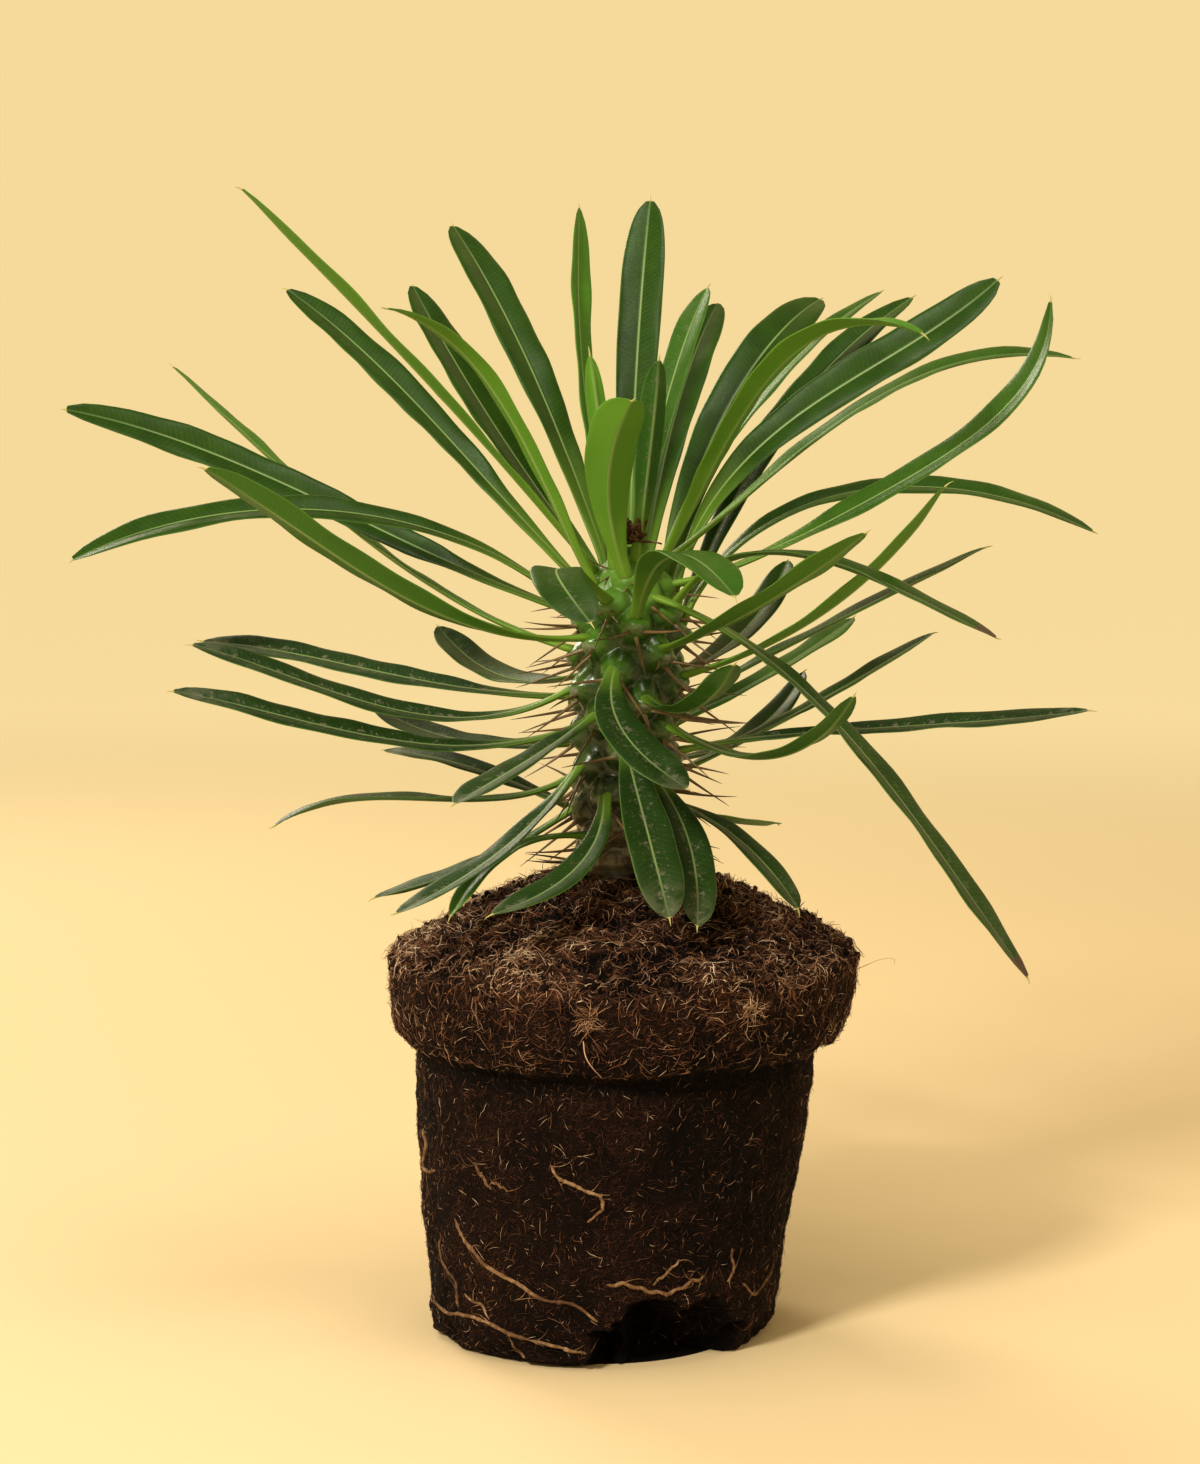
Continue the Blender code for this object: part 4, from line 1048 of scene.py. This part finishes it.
strays = [  # single loose fibres that stand clear: radius, then the points of each
    (0.16, [(-4, -59, 86), (-3.5, -61.5, 83), (-2, -62.5, 80.5), (0.5, -61.5, 77.5)]),
    (0.10, [(62, 0, 91), (67, -2, 93.5), (72, -2, 95.6), (75.5, -1, 95.6), (75.8, 0, 93.8)]),
    (0.22, [(-4, -13, 116), (-6, -14, 120), (-9, -15, 122), (-12, -16, 120), (-13, -17, 116)]),
    (0.12, [(30, 50, 98), (36, 55, 103), (43, 58, 104), (48, 62, 101)]),
    (0.12, [(-30, 48, 90), (-36, 55, 92), (-38, 61, 88)]),
    (0.14, [(13, -12, 117), (17, -16, 121), (21, -17, 120), (23, -15, 117)]),
    (0.16, [(-7, -10, 118), (-9, -15, 120), (-8, -20, 117)]),
]


def makeStrays(finish):
    rng = np.random.default_rng(91)
    parts = []
    for radius, points in strays:
        path = smoothRoute(points, 6 * len(points))
        s = np.linspace(0, 1, len(path))
        parts.append(tubes(path[None], (radius * (1 - 0.7 * s ** 2))[None], 6, rng))
    verts, faces = joined(parts)
    piece = meshPiece("fibres_stray", verts, faces, finish)
    paint(piece, "tone", np.full(len(verts), 0.85))
    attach(piece, "root")
    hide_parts("root_ball")


coirFibre = fibreFinish()
for seed, name in enumerate(fibres):
    layFibres(name, 40 + seed, coirFibre)
makeStrays(coirFibre)
print("fibres ready")


crumbs = {"count": 2000, "heights": (118.0, 94.0), "size": (0.30, 1.35), "seed": 60}


def makeCrumbs(finish):
    rng = np.random.default_rng(crumbs["seed"])
    count = crumbs["count"]
    g = (1 + math.sqrt(5)) / 2
    ico = unit(np.array([(-1, g, 0), (1, g, 0), (-1, -g, 0), (1, -g, 0), (0, -1, g), (0, 1, g),
                         (0, -1, -g), (0, 1, -g), (g, 0, -1), (g, 0, 1), (-g, 0, -1), (-g, 0, 1)], float))
    shell = np.array([(0, 11, 5), (0, 5, 1), (0, 1, 7), (0, 7, 10), (0, 10, 11), (1, 5, 9), (5, 11, 4),
                      (11, 10, 2), (10, 7, 6), (7, 1, 8), (3, 9, 4), (3, 4, 2), (3, 2, 6), (3, 6, 8),
                      (3, 8, 9), (4, 9, 5), (2, 4, 11), (6, 2, 10), (8, 6, 7), (9, 8, 1)])
    pick = scatter(rng, count, crumbs["heights"])
    spot, normal = ballPoint(pick, rng.uniform(0, 360.0, count))
    size = crumbs["size"][0] + (crumbs["size"][1] - crumbs["size"][0]) * rng.uniform(size=count) ** 3.0
    form = ico[None] * (1 + rng.uniform(-0.35, 0.35, (count, 12, 1))) * rng.uniform(0.6, 1.0, (count, 1, 3))
    verts = (spot + normal * (size * 0.35)[:, None])[:, None] + form * size[:, None, None]
    faces = (shell[None] + np.arange(count)[:, None, None] * 12).reshape(-1, 3)
    piece = meshPiece("peatCrumbs", verts, faces, finish)
    paint(piece, "tone", np.repeat(rng.uniform(size=count), 12))
    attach(piece, "root")
    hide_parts("root_ball")


makeCrumbs(crumbFinish())


# roots lying in the surface: thickness, then azimuth and height of each point

surfaceRoots = [
    (1.2, [(190, 54), (196, 50), (192, 43), (207, 45)]),
    (0.9, [(226, 52), (231, 47), (233, 44)]),
    (0.7, [(232, 47), (236, 46), (240, 45)]),
    (1.0, [(251, 54), (256, 49), (265, 46), (267, 42), (262, 38)]),
    (1.1, [(215, 36), (222, 30), (234, 24), (248, 19), (260, 17), (271, 12)]),
    (0.9, [(204, 28), (206, 22), (216, 17), (217, 10)]),
    (1.1, [(187, 11), (205, 8), (218, 10), (232, 10), (245, 7), (258, 6), (269, 4)]),
    (0.8, [(219, 16), (228, 14), (233, 10)]),
    (0.7, [(240, 7), (241, 4), (246, 1)]),
    (1.1, [(268, 22), (275, 23), (282, 21), (289, 20), (297, 22), (303, 23)]),
    (0.8, [(284, 22), (289, 25), (293, 29)]),
    (0.8, [(311, 30), (313, 23), (310, 20)]),
    (0.9, [(316, 20), (325, 15), (334, 17), (340, 21)]),
    (1.0, [(20, 30), (32, 24), (48, 22), (60, 15)]),
    (1.1, [(82, 48), (90, 38), (104, 33), (112, 22), (128, 14)]),
    (1.0, [(140, 40), (150, 31), (148, 22), (162, 12)]),
    (0.7, [(98, 60), (108, 55), (112, 47)]),
    (0.8, [(50, 10), (72, 7), (95, 9), (120, 5), (140, 8)]),
    (0.6, [(15, 55), (22, 47), (20, 40)]),
]


def makeRoots(finish):
    rng = np.random.default_rng(77)
    parts = []
    for thickness, points in surfaceRoots:
        count = 9 * len(points)
        course = smoothRoute(points, count)
        wiggle = np.cumsum(rng.normal(0, 0.16, count)) * np.hanning(count)
        azimuth = course[:, 0] + wiggle
        z = course[:, 1] + 0.3 * np.sin(np.arange(count) * rng.uniform(0.35, 0.8) + rng.uniform(0, 6))
        spot, normal = ballPoint(runAt(z), azimuth)
        s = np.linspace(0, 1, count)
        radius = thickness / 2.2 * (0.35 + 0.7 * np.sin(math.pi * np.clip(s * 0.8 + 0.12, 0, 1)) ** 0.7)
        radius = radius * (1 + 0.16 * rng.normal(size=count))
        dips = np.sin(s * 17 + sum(len(verts) for verts, faces in parts)) > 0.75
        sunk = np.where((s < 0.05) | (s > 0.95), -0.9, thickness * 0.18 - 0.35 * dips)
        path = spot + normal * np.convolve(np.pad(sunk, 2, "edge"), np.ones(5) / 5, "valid")[:, None]
        path[:, 2] = np.maximum(path[:, 2], 0.7)
        parts.append(tubes(path[None], np.maximum(radius, 0.12)[None], 8, rng))
        # rootlets that branch from it
        for k in rng.integers(3, count - 3, len(points) - 1):
            heading, reach = rng.uniform(0, 2 * math.pi), rng.uniform(2.5, 7.0)
            step = np.linspace(0, reach, 8)
            bend = heading + rng.normal(0, 0.7) * step / reach
            side = azimuth[k] + np.degrees(np.sin(bend) * step / 48.0)
            spot, normal = ballPoint(runAt(z[k]) + np.cos(bend) * step, side)
            thin = rng.uniform(0.10, 0.24) * (1 - 0.75 * step / reach)
            path = spot + normal * 0.22
            path[:, 2] = np.maximum(path[:, 2], 0.3)
            parts.append(tubes(path[None], thin[None], 5, rng))
    piece = meshPiece("surfaceRoots", *joined(parts), finish)
    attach(piece, "root")
    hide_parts("root_ball")


makeRoots(rootFinish())
print("crumbs and roots ready")


# dried scales at the growing point

tuft = {"centre": (8.6, -5.6, 202.6), "scales": 26, "length": (3.4, 7.2), "width": 1.4}
scaleRing = np.array([(1, 0.25), (0.5, 0.0), (0, -0.12), (-0.5, 0.0),
                      (-1, 0.25), (-0.5, 0.18), (0, 0.08), (0.5, 0.18)])


def makeTuft(finish):
    rng = np.random.default_rng(88)
    parts = []
    centre = np.array(tuft["centre"])
    for i in range(tuft["scales"]):
        heading = direction(137.5 * i + rng.uniform(-15, 15), rng.uniform(-5.0, 75.0))
        side = unit(np.cross(heading, (0.2, 0.1, 1.0)))
        normal = np.cross(side, heading)
        s = np.linspace(0, 1, 8)
        length = rng.uniform(*tuft["length"])
        outline = np.sin(math.pi * np.clip(s * 0.75 + 0.2, 0, 1)) + 0.08
        width = tuft["width"] * rng.uniform(0.6, 1.1) * outline
        curl = rng.uniform(-1.4, 2.2)
        path = centre + heading * 0.6 + heading * (length * s)[:, None] + normal * (curl * s ** 2)[:, None]
        crumple = rng.normal(0, 0.12, (8, 8))
        verts = path[:, None] + side * (scaleRing[:, 0] * width[:, None])[..., None] \
            + normal * (scaleRing[:, 1] * 1.2 + crumple)[..., None]
        parts.append((verts.reshape(-1, 3), skinFaces(8, 8)))
    piece = meshPiece("driedTuft", *joined(parts), finish)
    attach(piece, "root")
    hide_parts("crown_tuft")


makeTuft(scaleFinish())
print("dried tuft ready")
